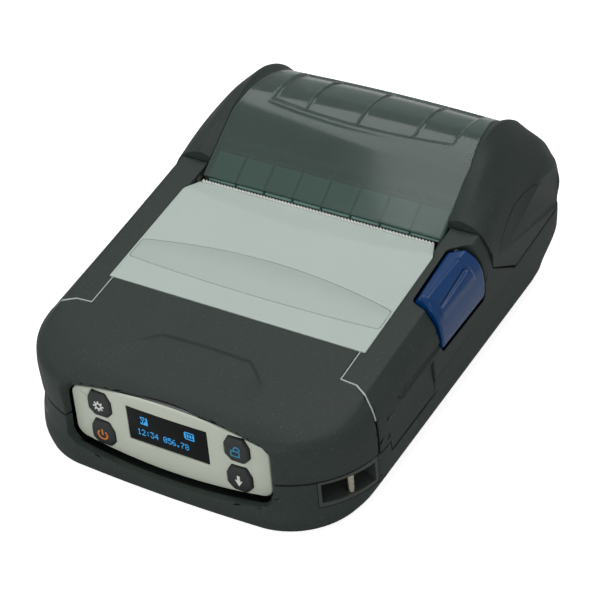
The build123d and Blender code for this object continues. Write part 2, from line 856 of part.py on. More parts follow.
def window_plan(grow):
    """Plan of the window, which narrows towards the rear, as an upright prism."""
    right = [
        (frame_x + grow, -big), (frame_x + grow, taper_y[0]),
        (taper_x + grow, taper_y[1]), (taper_x + grow, big),
    ]
    with BuildPart() as prism:
        with BuildSketch(Plane.XY.offset(-big)):
            with BuildLine():
                Polyline(*right, *[(-x, y) for x, y in reversed(right)], close=True)
            make_face()
        extrude(amount=2 * big)
    return prism.part


# Rails that fill the room beside the narrowing window
with BuildPart() as window_rails:
    for side in (-1, 1):
        low = min(side * (taper_x - 1), side * (arm_inner_x + 1))
        add(arch_shell(arch_radius + rail_rise, arch_radius - window_thickness, window_start - 3,
                       window_end - 0.8, low, low + arm_inner_x + 2 - taper_x))
    add(window_plan(0.15), mode=Mode.SUBTRACT)

rib_step = 10.2
rib_count = 7

with BuildPart() as lid_frame:
    add(right_arm.part)
    add(mirror(right_arm.part, about=Plane.YZ))
    add(arch_shell(arch_radius, arch_radius - window_thickness, window_end - 0.8, 0,
                   -arm_pocket_low, arm_pocket_low))
    add(window_rails.part)
    add(block(-arm_pocket_low, arm_pocket_low, rear_y - window_thickness, rear_y, hinge_z, arch_z))
    add(rod_x(hinge_y, hinge_z, barrel_radius, -arm_pocket_low, arm_pocket_low))
    add(hinge_relief.part, mode=Mode.SUBTRACT)
    for side in (-1, 1):
        inner = side * hinge_lug_x - hinge_lug_width / 2 - seam
        add(block(inner, inner + hinge_lug_width + 2 * seam, hinge_y - barrel_radius - 2, big,
                  -big, hinge_z + barrel_radius + 0.5), mode=Mode.SUBTRACT)
        add(rod_x(hinge_y, hinge_z, hinge_pin_radius + pin_clearance, inner - 6,
                  inner + hinge_lug_width + 6.6), mode=Mode.SUBTRACT)
finish(lid_frame.part, "lid_frame")

with BuildPart() as lid_window:
    add(arch_shell(arch_radius, arch_radius - window_thickness, window_start, window_end, -frame_x, frame_x))
    with BuildSketch(Plane.YZ.offset(-frame_x)):
        with BuildLine():
            start = arch_point(arch_radius, window_start)
            start_low = arch_point(arch_radius - window_thickness, window_start)
            drop = (start_low[0] - start[0], start_low[1] - start[1])
            Polyline(
                start,
                (lid_front_y, lid_front_z),
                (lid_front_y + 0.2, lid_front_z - 1.9),
                (lid_front_y + drop[0] * 0.9 + 0.6, lid_front_z + drop[1]),
                start_low,
                close=True,
            )
        make_face()
    extrude(amount=2 * frame_x)
    add(window_plan(0), mode=Mode.INTERSECT)
finish(lid_window.part, "lid_window")

with BuildPart() as hinge_pins:
    for side in (-1, 1):
        middle = side * hinge_lug_x
        add(rod_x(hinge_y, hinge_z, hinge_pin_radius, middle - hinge_lug_width / 2 - 5,
                  middle + hinge_lug_width / 2 + 5))
finish(hinge_pins.part, "hinge_pins")

# Platen carrier: ears for the bushes, a cross bar, and ribs that guide the paper under the window
carrier_bar_y = platen_y + 7.8
carrier_bar_depth = 1.6
rib_gap = 0.5
ear_bottom_z = platen_z - bush_radius - 1.6


def window_under_z(y):
    """Height of the window's lower face over its straight front part."""
    run = (y - lid_front_y) * math.tan(slope_up)
    return lid_front_z + run - window_thickness / math.cos(slope_up)


with BuildPart() as platen_carrier:
    add(side_prism([
        (carrier_bar_y, platen_z + 3.0),
        (carrier_bar_y + carrier_bar_depth, platen_z + 3.0),
        (carrier_bar_y + carrier_bar_depth, window_under_z(carrier_bar_y + carrier_bar_depth) - rib_gap),
        (carrier_bar_y, window_under_z(carrier_bar_y) - rib_gap),
    ], -frame_x, frame_x))
    rib_side = [
        (platen_y - 0.8, platen_z + platen_radius + 0.5),
        (carrier_bar_y + 0.5, platen_z + platen_radius - 0.6),
        (carrier_bar_y + 0.5, window_under_z(carrier_bar_y + 0.5) - rib_gap),
        (platen_y - 0.6, window_under_z(platen_y - 0.6) - rib_gap),
    ]
    for k in range(rib_count):
        middle = (k - (rib_count - 1) / 2) * rib_step
        add(side_prism(rib_side, middle - 0.6, middle + 0.6))
    ear_side = [
        (platen_y - 3.0, ear_bottom_z),
        (platen_y + 5.0, ear_bottom_z),
        (carrier_bar_y + 1.0, platen_z + 2.0),
        (carrier_bar_y + 1.0, platen_z + 6.0),
        (platen_y + 3.0, platen_z + 6.2),
        (platen_y - 3.0, platen_z + 4.5),
        (platen_y - 5.0, platen_z + 3.0),
        (platen_y - 5.0, platen_z - 3.0),
    ]
    for side in (-1, 1):
        low = side * (bush_inner_x + ear_thickness / 2) - ear_thickness / 2
        add(side_prism(ear_side, low, low + ear_thickness))
        add(rod_x(platen_y, platen_z, bush_radius + 0.04, low - 0.1, low + ear_thickness + 0.1),
            mode=Mode.SUBTRACT)
finish(platen_carrier.part, "platen_carrier")

# Platen roller with its shaft, bushes and gear
with BuildPart() as platen_shaft:
    add(rod_x(platen_y, platen_z, shaft_radius, -shaft_overhang_x, shaft_overhang_x))
finish(platen_shaft.part, "platen_shaft")

with BuildPart() as platen_roller:
    add(rod_x(platen_y, platen_z, platen_radius, -platen_half_length, platen_half_length))
    add(rod_x(platen_y, platen_z, shaft_radius + 0.03, -platen_half_length, platen_half_length),
        mode=Mode.SUBTRACT)
finish(platen_roller.part, "platen_roller")

with BuildPart() as platen_bushes:
    for side in (-1, 1):
        low = min(side * bush_inner_x, side * bush_outer_x)
        add(rod_x(platen_y, platen_z, bush_radius, low, low + bush_outer_x - bush_inner_x))
    add(rod_x(platen_y, platen_z, shaft_radius + 0.06, -half_width, half_width), mode=Mode.SUBTRACT)
finish(platen_bushes.part, "platen_bushes")


def gear_solid(teeth, y, z, bore, turn):
    """Spur gear with straight-flanked teeth, its first tooth turned from +Y by an angle."""
    pitch = teeth * gear_module / 2
    tip = pitch + 0.9 * gear_module
    root = pitch - 1.15 * gear_module
    step = 360 / teeth
    root_half = step * 0.25 + math.degrees(math.tan(math.radians(20)) * (pitch - root) / pitch) * 0.8
    tip_half = step * 0.25 - math.degrees(math.tan(math.radians(20)) * (tip - pitch) / pitch) * 1.35
    thin = math.degrees(mesh_gap / 2 / pitch)
    points = []
    for k in range(teeth):
        middle = turn + k * step
        for radius, offset_angle in (
            (root, -root_half + thin),
            (tip, -tip_half + thin),
            (tip, tip_half - thin),
            (root, root_half - thin),
        ):
            angle = math.radians(middle + offset_angle)
            points.append((y + radius * math.cos(angle), z + radius * math.sin(angle)))
    with BuildPart() as gear:
        with BuildSketch(Plane.YZ.offset(gear_x - gear_width / 2)):
            with BuildLine():
                Polyline(*points, close=True)
            make_face()
            with Locations((y, z)):
                Circle(bore, mode=Mode.SUBTRACT)
        extrude(amount=gear_width)
    return gear.part


idler_distance = gear_module * (platen_teeth + idler_teeth) / 2
pinion_distance = gear_module * (idler_teeth + pinion_teeth) / 2
idler_bearing = 225.0
pinion_bearing = 215.6
idler_y = platen_y + idler_distance * math.cos(math.radians(idler_bearing))
idler_z = platen_z + idler_distance * math.sin(math.radians(idler_bearing))
motor_y = idler_y + pinion_distance * math.cos(math.radians(pinion_bearing))
motor_z = idler_z + pinion_distance * math.sin(math.radians(pinion_bearing))
stud_radius = 1.5
motor_shaft_radius = 1.0
idler_turn = idler_bearing + 180 + 180 / idler_teeth
pinion_mesh = (pinion_bearing - idler_turn) % (360 / idler_teeth)
pinion_turn = pinion_bearing + 180 + pinion_mesh * idler_teeth / pinion_teeth + 180 / pinion_teeth

with BuildPart() as platen_gear:
    add(gear_solid(platen_teeth, platen_y, platen_z, shaft_radius + 0.02, idler_bearing))
finish(platen_gear.part, "platen_gear")

with BuildPart() as idler_gear:
    add(gear_solid(idler_teeth, idler_y, idler_z, stud_radius + 0.06, idler_turn))
finish(idler_gear.part, "idler_gear")

with BuildPart() as motor_pinion:
    add(gear_solid(pinion_teeth, motor_y, motor_z, motor_shaft_radius + 0.02, pinion_turn))
finish(motor_pinion.part, "motor_pinion")

motor_face_x = -side_plate_x + seam
motor_gap = 0.06
with BuildPart() as drive_motor:
    add(rod_x(motor_y, motor_z, motor_radius, motor_face_x, motor_face_x + motor_length))
    add(rod_x(motor_y, motor_z, motor_shaft_radius + 1.6, motor_face_x - 1.0, motor_face_x))
    add(rod_x(motor_y, motor_z, motor_shaft_radius + motor_gap, motor_face_x - 2, motor_face_x + 4),
        mode=Mode.SUBTRACT)
finish(drive_motor.part, "drive_motor")

with BuildPart() as motor_shaft:
    add(rod_x(motor_y, motor_z, motor_shaft_radius, gear_x - gear_width / 2 - 0.4, motor_face_x + 3.6))
finish(motor_shaft.part, "motor_shaft")

# Print mechanism frame, print head and springs
frame_bottom_z = rod_z - 17.4
frame_plate = 1.4
frame_front_y = rod_y + 2.4
plate_outer_x = side_plate_x + side_plate_thickness
seat_gap = 0.35
bush_seat_z = platen_z - bush_radius - seat_gap

with BuildPart() as mech_frame:
    add(block(-plate_outer_x, plate_outer_x, frame_front_y, frame_front_y + 10.4,
              frame_bottom_z, frame_bottom_z + frame_plate))
    add(block(-plate_outer_x, plate_outer_x, frame_front_y, frame_front_y + frame_plate,
              frame_bottom_z, rod_z + 3.0))
    plate_side = [
        (rod_y - 3.0, rod_z - 4.0),
        (frame_front_y, frame_bottom_z),
        (frame_front_y + 10.4, frame_bottom_z),
        (platen_y + 3.0, platen_z - 11.2),
        (platen_y + 3.0, bush_seat_z - 0.4),
        (platen_y, bush_seat_z - 0.4),
        (platen_y, bush_seat_z + 3),
        (platen_y - 5.2, bush_seat_z + 3),
        (platen_y - 5.2, platen_z + 0.4),
        (rod_y - 3.0, platen_z + 0.4),
    ]
    for side in (-1, 1):
        low = min(side * side_plate_x, side * plate_outer_x)
        add(side_prism(plate_side, low, low + side_plate_thickness))
    add(rod_x(platen_y, platen_z, bush_radius + seat_gap, -half_width, half_width), mode=Mode.SUBTRACT)
    add(rod_x(rod_y, rod_z, rod_radius + pin_clearance, -half_width, half_width), mode=Mode.SUBTRACT)
    add(rod_x(motor_y, motor_z, motor_radius + 0.4, motor_face_x - 0.1,
              motor_face_x + motor_length + 0.6), mode=Mode.SUBTRACT)
    add(rod_x(motor_y, motor_z, motor_shaft_radius + 1.9, -half_width, 0), mode=Mode.SUBTRACT)
    add(rod_x(idler_y, idler_z, stud_radius, gear_x - gear_width / 2 - 0.5, -side_plate_x))
finish(mech_frame.part, "mech_frame")

head_face_y = platen_y - platen_radius - seam
head_top_z = deck_z(tear_y) - panel_thickness - tear_drop - 1.2
bracket_y = rod_y + 10.4
head_bottom_z = head_top_z - 9.0
with BuildPart() as head_bracket:
    add(block(-platen_half_length + 0.6, platen_half_length - 0.6, bracket_y, bracket_y + 2.6,
              head_bottom_z, head_top_z))
    for k in range(9):
        middle = (k - 4) * 8.6
        add(block(middle - 0.6, middle + 0.6, bracket_y - 1.2, bracket_y, head_bottom_z + 4.6,
                  head_top_z - 0.6))
finish(head_bracket.part, "head_bracket")

with BuildPart() as print_head:
    add(block(-paper_width / 2, paper_width / 2, head_face_y - head_thickness, head_face_y,
              head_bottom_z, head_top_z))
finish(print_head.part, "print_head")

spring_radius = 1.5
spring_wire = 0.25
spring_turns = 5
spring_low_y = frame_front_y + frame_plate + 0.3
spring_length = bracket_y - 0.3 - spring_low_y
spring_z = head_bottom_z + 2.2
spring_xs = (-16.0, 16.0)
with BuildPart() as head_springs:
    for x in spring_xs:
        coil = Helix(
            pitch=(spring_length - 2 * spring_wire) / spring_turns,
            height=spring_length - 2 * spring_wire,
            radius=spring_radius,
            center=(x, spring_low_y + spring_wire, spring_z),
            direction=(0, 1, 0),
            mode=Mode.PRIVATE,
        )
        with BuildSketch(Plane(origin=coil @ 0, z_dir=coil % 0)):
            Circle(spring_wire)
        sweep(path=coil)
finish(head_springs.part, "head_springs")

with BuildPart() as tear_bar:
    teeth = int(tear_width / tear_pitch)
    blade_top = deck_z(tear_y) - tear_drop + 0.8
    flange_z = head_top_z + 0.3
    with BuildSketch(front_plane(0, tear_y - 0.35, 0)):
        with BuildLine():
            edge = []
            start_x = -teeth * tear_pitch / 2
            for k in range(teeth):
                edge.append((start_x + k * tear_pitch, blade_top - 0.8))
                edge.append((start_x + (k + 0.5) * tear_pitch, blade_top))
            edge.append((start_x + teeth * tear_pitch, blade_top - 0.8))
            Polyline(*edge, (-start_x, flange_z), (start_x, flange_z), close=True)
        make_face()
    extrude(amount=tear_thickness, dir=(0, 1, 0))
    add(block(start_x, -start_x, tear_y - tear_height, tear_y - 0.35 + tear_thickness, flange_z,
              flange_z + tear_thickness))
finish(tear_bar.part, "tear_bar")

# Paper bay: a half round tray with end walls, and the guide that leads paper to the head
bay_drop = 2.8
with BuildPart() as paper_bay:
    with BuildSketch(Plane.YZ.offset(-bay_width / 2 - bay_wall)):
        with Locations((arch_y, arch_z)):
            Circle(bay_radius + bay_wall)
    extrude(amount=bay_width + 2 * bay_wall)
    add(rod_x(arch_y, arch_z, bay_radius, -bay_width / 2, bay_width / 2), mode=Mode.SUBTRACT)
    add(side_prism(
        [(-big, part_z(-big) - bay_drop), (big, part_z(big) - bay_drop), (big, -big), (-big, -big)],
        -big, big), mode=Mode.INTERSECT)
finish(paper_bay.part, "paper_bay")

guide_low_z = part_z(arch_y - bay_radius) - bay_drop
guide_low_y = arch_y - math.sqrt(bay_radius**2 - (arch_z - guide_low_z) ** 2)
with BuildPart() as entry_guide:
    add(side_prism([
        (platen_y - 5.0, head_bottom_z - 1.2),
        (platen_y - 5.0, head_bottom_z - 2.6),
        (guide_low_y - 1.2, guide_low_z + 0.35),
        (guide_low_y + 0.2, guide_low_z + 0.35),
    ], -side_plate_x + seam, side_plate_x - seam))
finish(entry_guide.part, "entry_guide")

with BuildPart() as paper_sensor:
    sensor_y = frame_front_y + 10.8
    add(block(12.0, 19.0, sensor_y, sensor_y + 3.6, frame_bottom_z + 5.6, frame_bottom_z + 9.6))
    add(block(13.4, 17.6, sensor_y, sensor_y + 1.6, frame_bottom_z + 1.6, frame_bottom_z + 5.6))
finish(paper_sensor.part, "paper_sensor")

# Latch: button, and cross rod with its hooks
with BuildPart() as latch_button:
    add(latch_prism(0, -8.5, 12))
    add(upper_solid(-latch_proud, -latch_proud), mode=Mode.INTERSECT)
    add(upper_solid(latch_depth, latch_depth), mode=Mode.SUBTRACT)
finish(latch_button.part, "latch_button")

tail_y = rod_y - 11.6
with BuildPart() as latch_lever:
    add(rod_x(rod_y, rod_z, rod_radius, hook_xs[0] - hook_thickness, hook_xs[1] + hook_thickness))
    hook_side = [
        (rod_y - 2.4, rod_z - 2.4),
        (rod_y + 10.0, rod_z - 1.6),
        (rod_y + 13.6, rod_z - 0.4),
        (rod_y + 15.4, rod_z + 2.0),
        (rod_y + 15.8, rod_z + 3.6),
        (rod_y + 13.8, rod_z + 4.0),
        (rod_y + 11.4, rod_z + 2.0),
        (rod_y + 2.4, rod_z + 1.9),
        (rod_y - 2.4, rod_z + 1.9),
    ]
    tail_side = [
        (tail_y, rod_z - 2.6),
        (rod_y, rod_z - 2.4),
        (rod_y, rod_z + 0.4),
        (tail_y, rod_z - 1.3),
    ]
    for middle in hook_xs:
        add(side_prism(hook_side, middle - hook_thickness / 2, middle + hook_thickness / 2))
    add(side_prism(tail_side, hook_xs[1] - hook_thickness / 2, hook_xs[1] + hook_thickness / 2))
finish(latch_lever.part, "latch_lever")

# Strap inserts and pins in the front corners
pocket_back = corner_radius - pocket_depth
pocket_pin_r = corner_radius - 2.2
pin_x = corner_x + pocket_pin_r * math.cos(math.radians(strap_pin_angle))
pin_y = corner_y - pocket_pin_r * math.sin(math.radians(strap_pin_angle))
insert_roof_z = part_z(corner_y) - 2.0
with BuildPart() as right_insert:
    add(case_solid(0.15, foot_height))
    add(sector(pocket_back - 1.0, corner_reach, pocket_start - 0.7, pocket_end + 0.7,
               pocket_floor_z - 1.2, big), mode=Mode.INTERSECT)
    add(below_part, mode=Mode.INTERSECT)
    add(sector(pocket_back, corner_reach, pocket_start + 1.4, pocket_end - 1.4, pocket_floor_z,
               insert_roof_z), mode=Mode.SUBTRACT)
    add(post(pin_x, pin_y, strap_pin_radius + 0.02, pocket_floor_z - 0.8, insert_roof_z + 0.6),
        mode=Mode.SUBTRACT)
finish(right_insert.part, "right_strap_insert")
finish(mirror(right_insert.part, about=Plane.YZ), "left_strap_insert")

with BuildPart() as strap_pin:
    add(post(pin_x, pin_y, strap_pin_radius, pocket_floor_z - 0.7, insert_roof_z + 0.5))
finish(strap_pin.part, "right_strap_pin")
finish(mirror(strap_pin.part, about=Plane.YZ), "left_strap_pin")

# Board with the ports, behind a flap
board_z = battery_top + 0.9 + seam
board_thickness = 1.6
board_top = board_z + board_thickness
with BuildPart() as main_board:
    board_half = half_width - 11.6
    add(block(-board_half, board_half, battery_y - 14.0, battery_y + 14.0, board_z, board_top))
    for x, dy, w, d, h in (
        (-30.0, -6.0, 8.0, 8.0, 6.0),
        (-14.0, 0.0, 12.0, 12.0, 1.4),
        (6.0, -4.0, 7.0, 5.0, 2.2),
        (-34.0, 8.0, 14.0, 4.0, 4.5),
        (2.0, 9.4, 20.0, 3.6, 3.0),
        (24.0, 8.0, 6.0, 6.0, 5.0),
    ):
        add(block(x, x + w, battery_y + dy, battery_y + dy + d, board_top, board_top + h))
finish(main_board.part, "main_board")

port_face_x = flap_gap_x - 0.6
with BuildPart() as power_socket:
    add(block(port_face_x - 11.0, port_face_x, jack_y - 4.4, jack_y + 4.4, board_top, board_top + 6.6))
    add(rod_x(jack_y, board_top + 3.3, 2.8, port_face_x - 9.0, port_face_x + 1), mode=Mode.SUBTRACT)
    add(rod_x(jack_y, board_top + 3.3, 0.8, port_face_x - 9.5, port_face_x - 1.0))
finish(power_socket.part, "power_socket")

with BuildPart() as usb_socket:
    add(block(port_face_x - 9.0, port_face_x, usb_y - 4.0, usb_y + 4.0, board_top, board_top + 4.2))
    add(block(port_face_x - 7.0, port_face_x + 1, usb_y - 3.4, usb_y + 3.4,
              board_top + 0.6, board_top + 3.6), mode=Mode.SUBTRACT)
    add(block(port_face_x - 7.5, port_face_x - 1.6, usb_y - 2.4, usb_y + 2.4,
              board_top + 2.6, board_top + 3.2))
finish(usb_socket.part, "usb_socket")

flap_axis_x = half_width - flap_barrel_radius - 0.6
flap_axis_z = flap_bottom_z + flap_thickness / 2
with BuildPart() as port_flap:
    add(case_solid(0, foot_height))
    add(block(flap_gap_x + seam, big, flap_front_y, flap_rear_y, flap_axis_z, flap_top_z),
        mode=Mode.INTERSECT)
    with BuildSketch(Plane.XZ.offset(-flap_rear_y)):
        with Locations((flap_axis_x, flap_axis_z)):
            Circle(flap_barrel_radius)
    extrude(amount=flap_rear_y - flap_front_y)
finish(port_flap.part, "port_flap")

# Battery, its contacts and latch
with BuildPart() as battery_pack:
    add(block(-battery_width / 2, battery_width / 2, battery_y - battery_length / 2,
              battery_y + battery_length / 2, battery_bottom, battery_top))
    fillet(battery_pack.edges().filter_by(Axis.Z), 2.0)
    add(block(-6, 6, battery_y + battery_length / 2 - 1.2, battery_y + battery_length / 2 + 1,
              battery_bottom - 1, battery_bottom + 2.6), mode=Mode.SUBTRACT)
finish(battery_pack.part, "battery_pack")

latch_block_y = bay_back + 1.4
with BuildPart() as battery_latch:
    add(block(-latch_slot_width / 2 + 0.4, latch_slot_width / 2 - 0.4, latch_block_y, latch_block_y + 4.0,
              foot_height + 0.2, foot_height + 1.1))
    add(block(-5, 5, latch_block_y - 1.6, latch_block_y, foot_height + 0.2, foot_height + 1.0))
finish(battery_latch.part, "battery_latch")

# Fasteners and feet
with BuildPart() as case_screws:
    for boss_y in boss_ys:
        for side in (-1, 1):
            x = side * boss_x
            head_z = foot_height + 0.2
            add(post(x, boss_y, screw_head_radius, head_z, head_z + screw_head_height))
            add(post(x, boss_y, screw_radius, head_z, head_z + screw_length))
            add(block(x - 1.6, x + 1.6, boss_y - 0.3, boss_y + 0.3, foot_height, foot_height + 1.0),
                mode=Mode.SUBTRACT)
            add(block(x - 0.3, x + 0.3, boss_y - 1.6, boss_y + 1.6, foot_height, foot_height + 1.0),
                mode=Mode.SUBTRACT)
finish(case_screws.part, "case_screws")

with BuildPart() as rubber_feet:
    for foot_y in foot_ys:
        for side in (-1, 1):
            add(post(side * foot_x, foot_y, foot_radius, 0, foot_height + foot_recess))
finish(rubber_feet.part, "rubber_feet")
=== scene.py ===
"""Portable receipt printer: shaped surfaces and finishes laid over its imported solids.

Lengths are millimetres in the part's own frame, and become metres where a mesh is made.
X runs to the right of someone facing the display, Y from the display to the lid's hinge, Z is up.
"""

import json
import logging
import math
from dataclasses import dataclass
from enum import Enum
from typing import Optional, Sequence, Union

import bmesh
import bpy
import numpy as np
from mathutils import Matrix, Vector


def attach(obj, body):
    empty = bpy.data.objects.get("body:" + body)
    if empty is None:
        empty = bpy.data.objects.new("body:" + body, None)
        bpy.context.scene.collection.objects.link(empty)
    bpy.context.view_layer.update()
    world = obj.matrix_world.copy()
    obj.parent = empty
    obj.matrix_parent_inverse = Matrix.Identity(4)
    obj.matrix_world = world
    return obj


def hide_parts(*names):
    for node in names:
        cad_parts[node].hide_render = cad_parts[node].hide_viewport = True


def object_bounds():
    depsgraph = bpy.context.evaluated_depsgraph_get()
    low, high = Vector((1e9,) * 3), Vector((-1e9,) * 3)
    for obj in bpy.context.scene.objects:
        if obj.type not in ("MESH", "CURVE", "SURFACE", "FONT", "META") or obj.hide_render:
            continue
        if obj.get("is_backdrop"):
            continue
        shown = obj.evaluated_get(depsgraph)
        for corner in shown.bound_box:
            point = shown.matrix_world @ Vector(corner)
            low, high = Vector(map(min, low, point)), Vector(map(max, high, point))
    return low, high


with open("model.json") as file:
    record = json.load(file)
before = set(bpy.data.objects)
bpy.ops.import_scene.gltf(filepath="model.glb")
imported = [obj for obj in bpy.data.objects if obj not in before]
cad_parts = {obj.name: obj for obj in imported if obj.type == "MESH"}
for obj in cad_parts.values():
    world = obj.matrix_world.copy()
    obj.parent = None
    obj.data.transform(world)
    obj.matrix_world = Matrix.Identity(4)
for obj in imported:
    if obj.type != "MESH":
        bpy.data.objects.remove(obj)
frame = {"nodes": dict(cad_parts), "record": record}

MM = 0.001  # metres in a millimetre
FAR = 300.0  # reach of a cutter that passes right through
MERGE = 1e-4  # distance under which points of a new mesh become one
THROWN = 1.15  # share of a rounding's width past which a corner counts as thrown out
log = logging.getLogger("printer")
Array = np.ndarray
Piece = bpy.types.Object
Socket = bpy.types.NodeSocket


class Axis(Enum):
    """Direction along which an outline is carried."""

    X = 0
    Y = 1
    Z = 2


class Carrier(Enum):
    """Body of the frame that a piece moves with."""

    CASE = "case"
    LID = "lid"
    RELEASE = "release"
    SETUP = "setup"
    POWER = "power"
    LOCK = "lock"
    FEED = "feed"


class Side(Enum):
    """Left or right half of the printer."""

    LEFT = -1
    RIGHT = 1


def cubics(t: Array, span: Array, ends: tuple, slopes: tuple) -> Array:
    """Cubics over spans at the shares t, from the values and the slopes at both ends."""
    (a, b), (rise_a, rise_b) = ends, slopes
    return (
        a * (1 + 2 * t) * (1 - t) ** 2 + rise_a * span * t * (1 - t) ** 2
        + b * t**2 * (3 - 2 * t) + rise_b * span * t**2 * (t - 1)
    )


def ease(at: Array, knots: Sequence[float], values: Sequence[float]) -> Array:
    """Smooth curve through the knots that never overshoots them.

    Each span is a cubic whose end slopes are the harmonic mean of the neighbouring straight
    slopes, and zero where those change sign.

    Args:
        at: Places where the curve is wanted.
        knots: Increasing places of the known values.
        values: Known values.

    Returns:
        The curve's values, in the shape of at.
    """
    xs, ys = np.asarray(knots, float), np.asarray(values, float)
    span = np.diff(xs)
    rise = np.diff(ys) / span
    left, right = rise[:-1], rise[1:]
    same = left * right > 0
    mean = np.where(same, 2 * left * right / np.where(same, left + right, 1), 0)
    slopes = np.concatenate([rise[:1], mean, rise[-1:]])
    at = np.clip(np.asarray(at, float), xs[0], xs[-1])
    k = np.clip(np.searchsorted(xs, at, side="right") - 1, 0, len(span) - 1)
    t = (at - xs[k]) / span[k]
    return cubics(t, span[k], (ys[k], ys[k + 1]), (slopes[k], slopes[k + 1]))


def through(points: Array, count: int) -> Array:
    """Smooth curves through the given points, one curve per row of a stack.

    Each curve is a cubic in the length along its chords, and its slopes are the central
    differences there.

    Args:
        points: Array of (curves, points, 2).
        count: Points wanted on each curve.

    Returns:
        Array of (curves, count, 2).
    """
    steps = np.linalg.norm(np.diff(points, axis=1), axis=2)
    run = np.concatenate([np.zeros((len(points), 1)), np.cumsum(steps, axis=1)], axis=1)
    mean = run.mean(axis=0)
    slopes = np.gradient(points, mean, axis=1)
    at = np.linspace(0, mean[-1], count)
    k = np.clip(np.searchsorted(mean, at, side="right") - 1, 0, len(mean) - 2)
    span = (mean[k + 1] - mean[k])[None, :, None]
    t = ((at - mean[k]) / (mean[k + 1] - mean[k]))[None, :, None]
    return cubics(t, span, (points[:, k], points[:, k + 1]), (slopes[:, k], slopes[:, k + 1]))


def smooth_step(at: Array, low: float, high: float) -> Array:
    """0 before low, 1 after high, and 3t squared minus 2t cubed between."""
    t = np.clip((np.asarray(at, float) - low) / (high - low), 0, 1)
    return t * t * (3 - 2 * t)


def along(points: Array, count: int) -> Array:
    """Points spaced evenly by length along a run of points.

    Args:
        points: Run of points, one per row.
        count: How many points to return.

    Returns:
        Array of count points on the run.
    """
    steps = np.linalg.norm(np.diff(points, axis=0), axis=1)
    run = np.concatenate([[0], np.cumsum(steps)])
    at = np.linspace(0, run[-1], count)
    return np.stack([np.interp(at, run, column) for column in points.T], axis=1)


def circle(angles: Array) -> Array:
    """Points of the unit circle at some angles in radians."""
    return np.stack([np.cos(angles), np.sin(angles)], axis=-1)


def beside(line: Array) -> Array:
    """Unit normals on the left of an open line, from its central differences.

    Args:
        line: Run of points, one per row.

    Returns:
        Array of as many normals.
    """
    way = np.gradient(line, axis=0)
    way /= np.linalg.norm(way, axis=1)[:, None]
    return np.stack([-way[:, 1], way[:, 0]], 1)


def outward(outline: Array) -> Array:
    """Unit normals of a closed outline that point out of it.

    Each is square to the line between its neighbours, and all are turned round where their mean
    points at the middle.

    Args:
        outline: Points of the outline, one per row.

    Returns:
        Array of as many normals.
    """
    way = np.roll(outline, -1, axis=0) - np.roll(outline, 1, axis=0)
    normal = np.stack([way[:, 1], -way[:, 0]], 1)
    normal /= np.linalg.norm(normal, axis=1)[:, None]
    out = np.sum(normal * (outline - outline.mean(axis=0)), axis=1)
    return -normal if np.mean(out) < 0 else normal


def rounded(corners: Sequence[tuple], radii: Union[float, Array], steps: int = 5) -> Array:
    """Outline with each corner replaced by an arc.

    The arc touches both edges at the distance radius / tan(half the corner's angle) from the
    corner, and its points are spaced evenly in angle.

    Args:
        corners: Corners of a closed outline, in order.
        radii: Radius of all corners or of each, where 0 keeps it sharp.
        steps: Points on each arc, less one.

    Returns:
        Array of (n, 2) outline points.
    """
    found = []
    points = np.asarray(corners, float)
    for k, (corner, radius) in enumerate(zip(points, np.broadcast_to(radii, len(points)))):
        if radius <= 0:
            found.append(corner[None])
            continue
        a = points[k - 1] - corner
        b = points[(k + 1) % len(points)] - corner
        a, b = a / np.linalg.norm(a), b / np.linalg.norm(b)
        half = math.acos(float(np.clip(a @ b, -1, 1))) / 2
        centre = corner + (a + b) / np.linalg.norm(a + b) * radius / math.sin(half)
        start = corner + a * radius / math.tan(half) - centre
        end = corner + b * radius / math.tan(half) - centre
        first = math.atan2(start[1], start[0])
        turn = (math.atan2(end[1], end[0]) - first + math.pi) % (2 * math.pi) - math.pi
        found.append(centre + radius * circle(first + turn * np.linspace(0, 1, steps + 1)))
    return np.concatenate(found)


def quads(rows: int, cols: int, wrap: bool) -> Array:
    """Quads of a grid of points stored row by row.

    Args:
        rows: Rows of the grid.
        cols: Points in a row.
        wrap: Whether the last column is joined to the first.

    Returns:
        Array of (n, 4) point numbers.
    """
    r = np.arange(rows - 1)[:, None] * cols
    c = np.arange(cols if wrap else cols - 1)[None]
    d = (c + 1) % cols
    return np.stack([r + c, r + d, r + cols + d, r + cols + c], axis=-1).reshape(-1, 4)


def linked(name: str, data: bpy.types.ID) -> Piece:
    """New object of some data, put into the scene.

    Args:
        name: Name of the object.
        data: Its mesh, lamp or camera.

    Returns:
        The new object.
    """
    item = bpy.data.objects.new(name, data)
    bpy.context.scene.collection.objects.link(item)
    return item


def mesh_of(name: str, points: Array, faces: list) -> Piece:
    """Object from points, with doubles merged and faces turned outwards.

    Args:
        name: Name of the piece.
        points: Array of (n, 3) points.
        faces: Lists of point numbers.

    Returns:
        The new object.
    """
    data = bpy.data.meshes.new(name)
    data.from_pydata((points * MM).tolist(), [], faces)
    work = bmesh.new()
    work.from_mesh(data)
    bmesh.ops.remove_doubles(work, verts=work.verts, dist=MERGE * MM)
    bmesh.ops.recalc_face_normals(work, faces=work.faces)
    work.to_mesh(data)
    work.free()
    return linked(name, data)


def tube(name: str, sections: Array) -> Piece:
    """Closed solid through a stack of closed sections, with flat ends.

    Args:
        name: Name of the piece.
        sections: Array of (rows, columns, 3) points; each row is one closed section.

    Returns:
        The new object.
    """
    rows, cols = sections.shape[:2]
    last = (rows - 1) * cols
    ends = [list(range(cols))[::-1], list(range(last, last + cols))]
    return mesh_of(name, sections.reshape(-1, 3), quads(rows, cols, True).tolist() + ends)


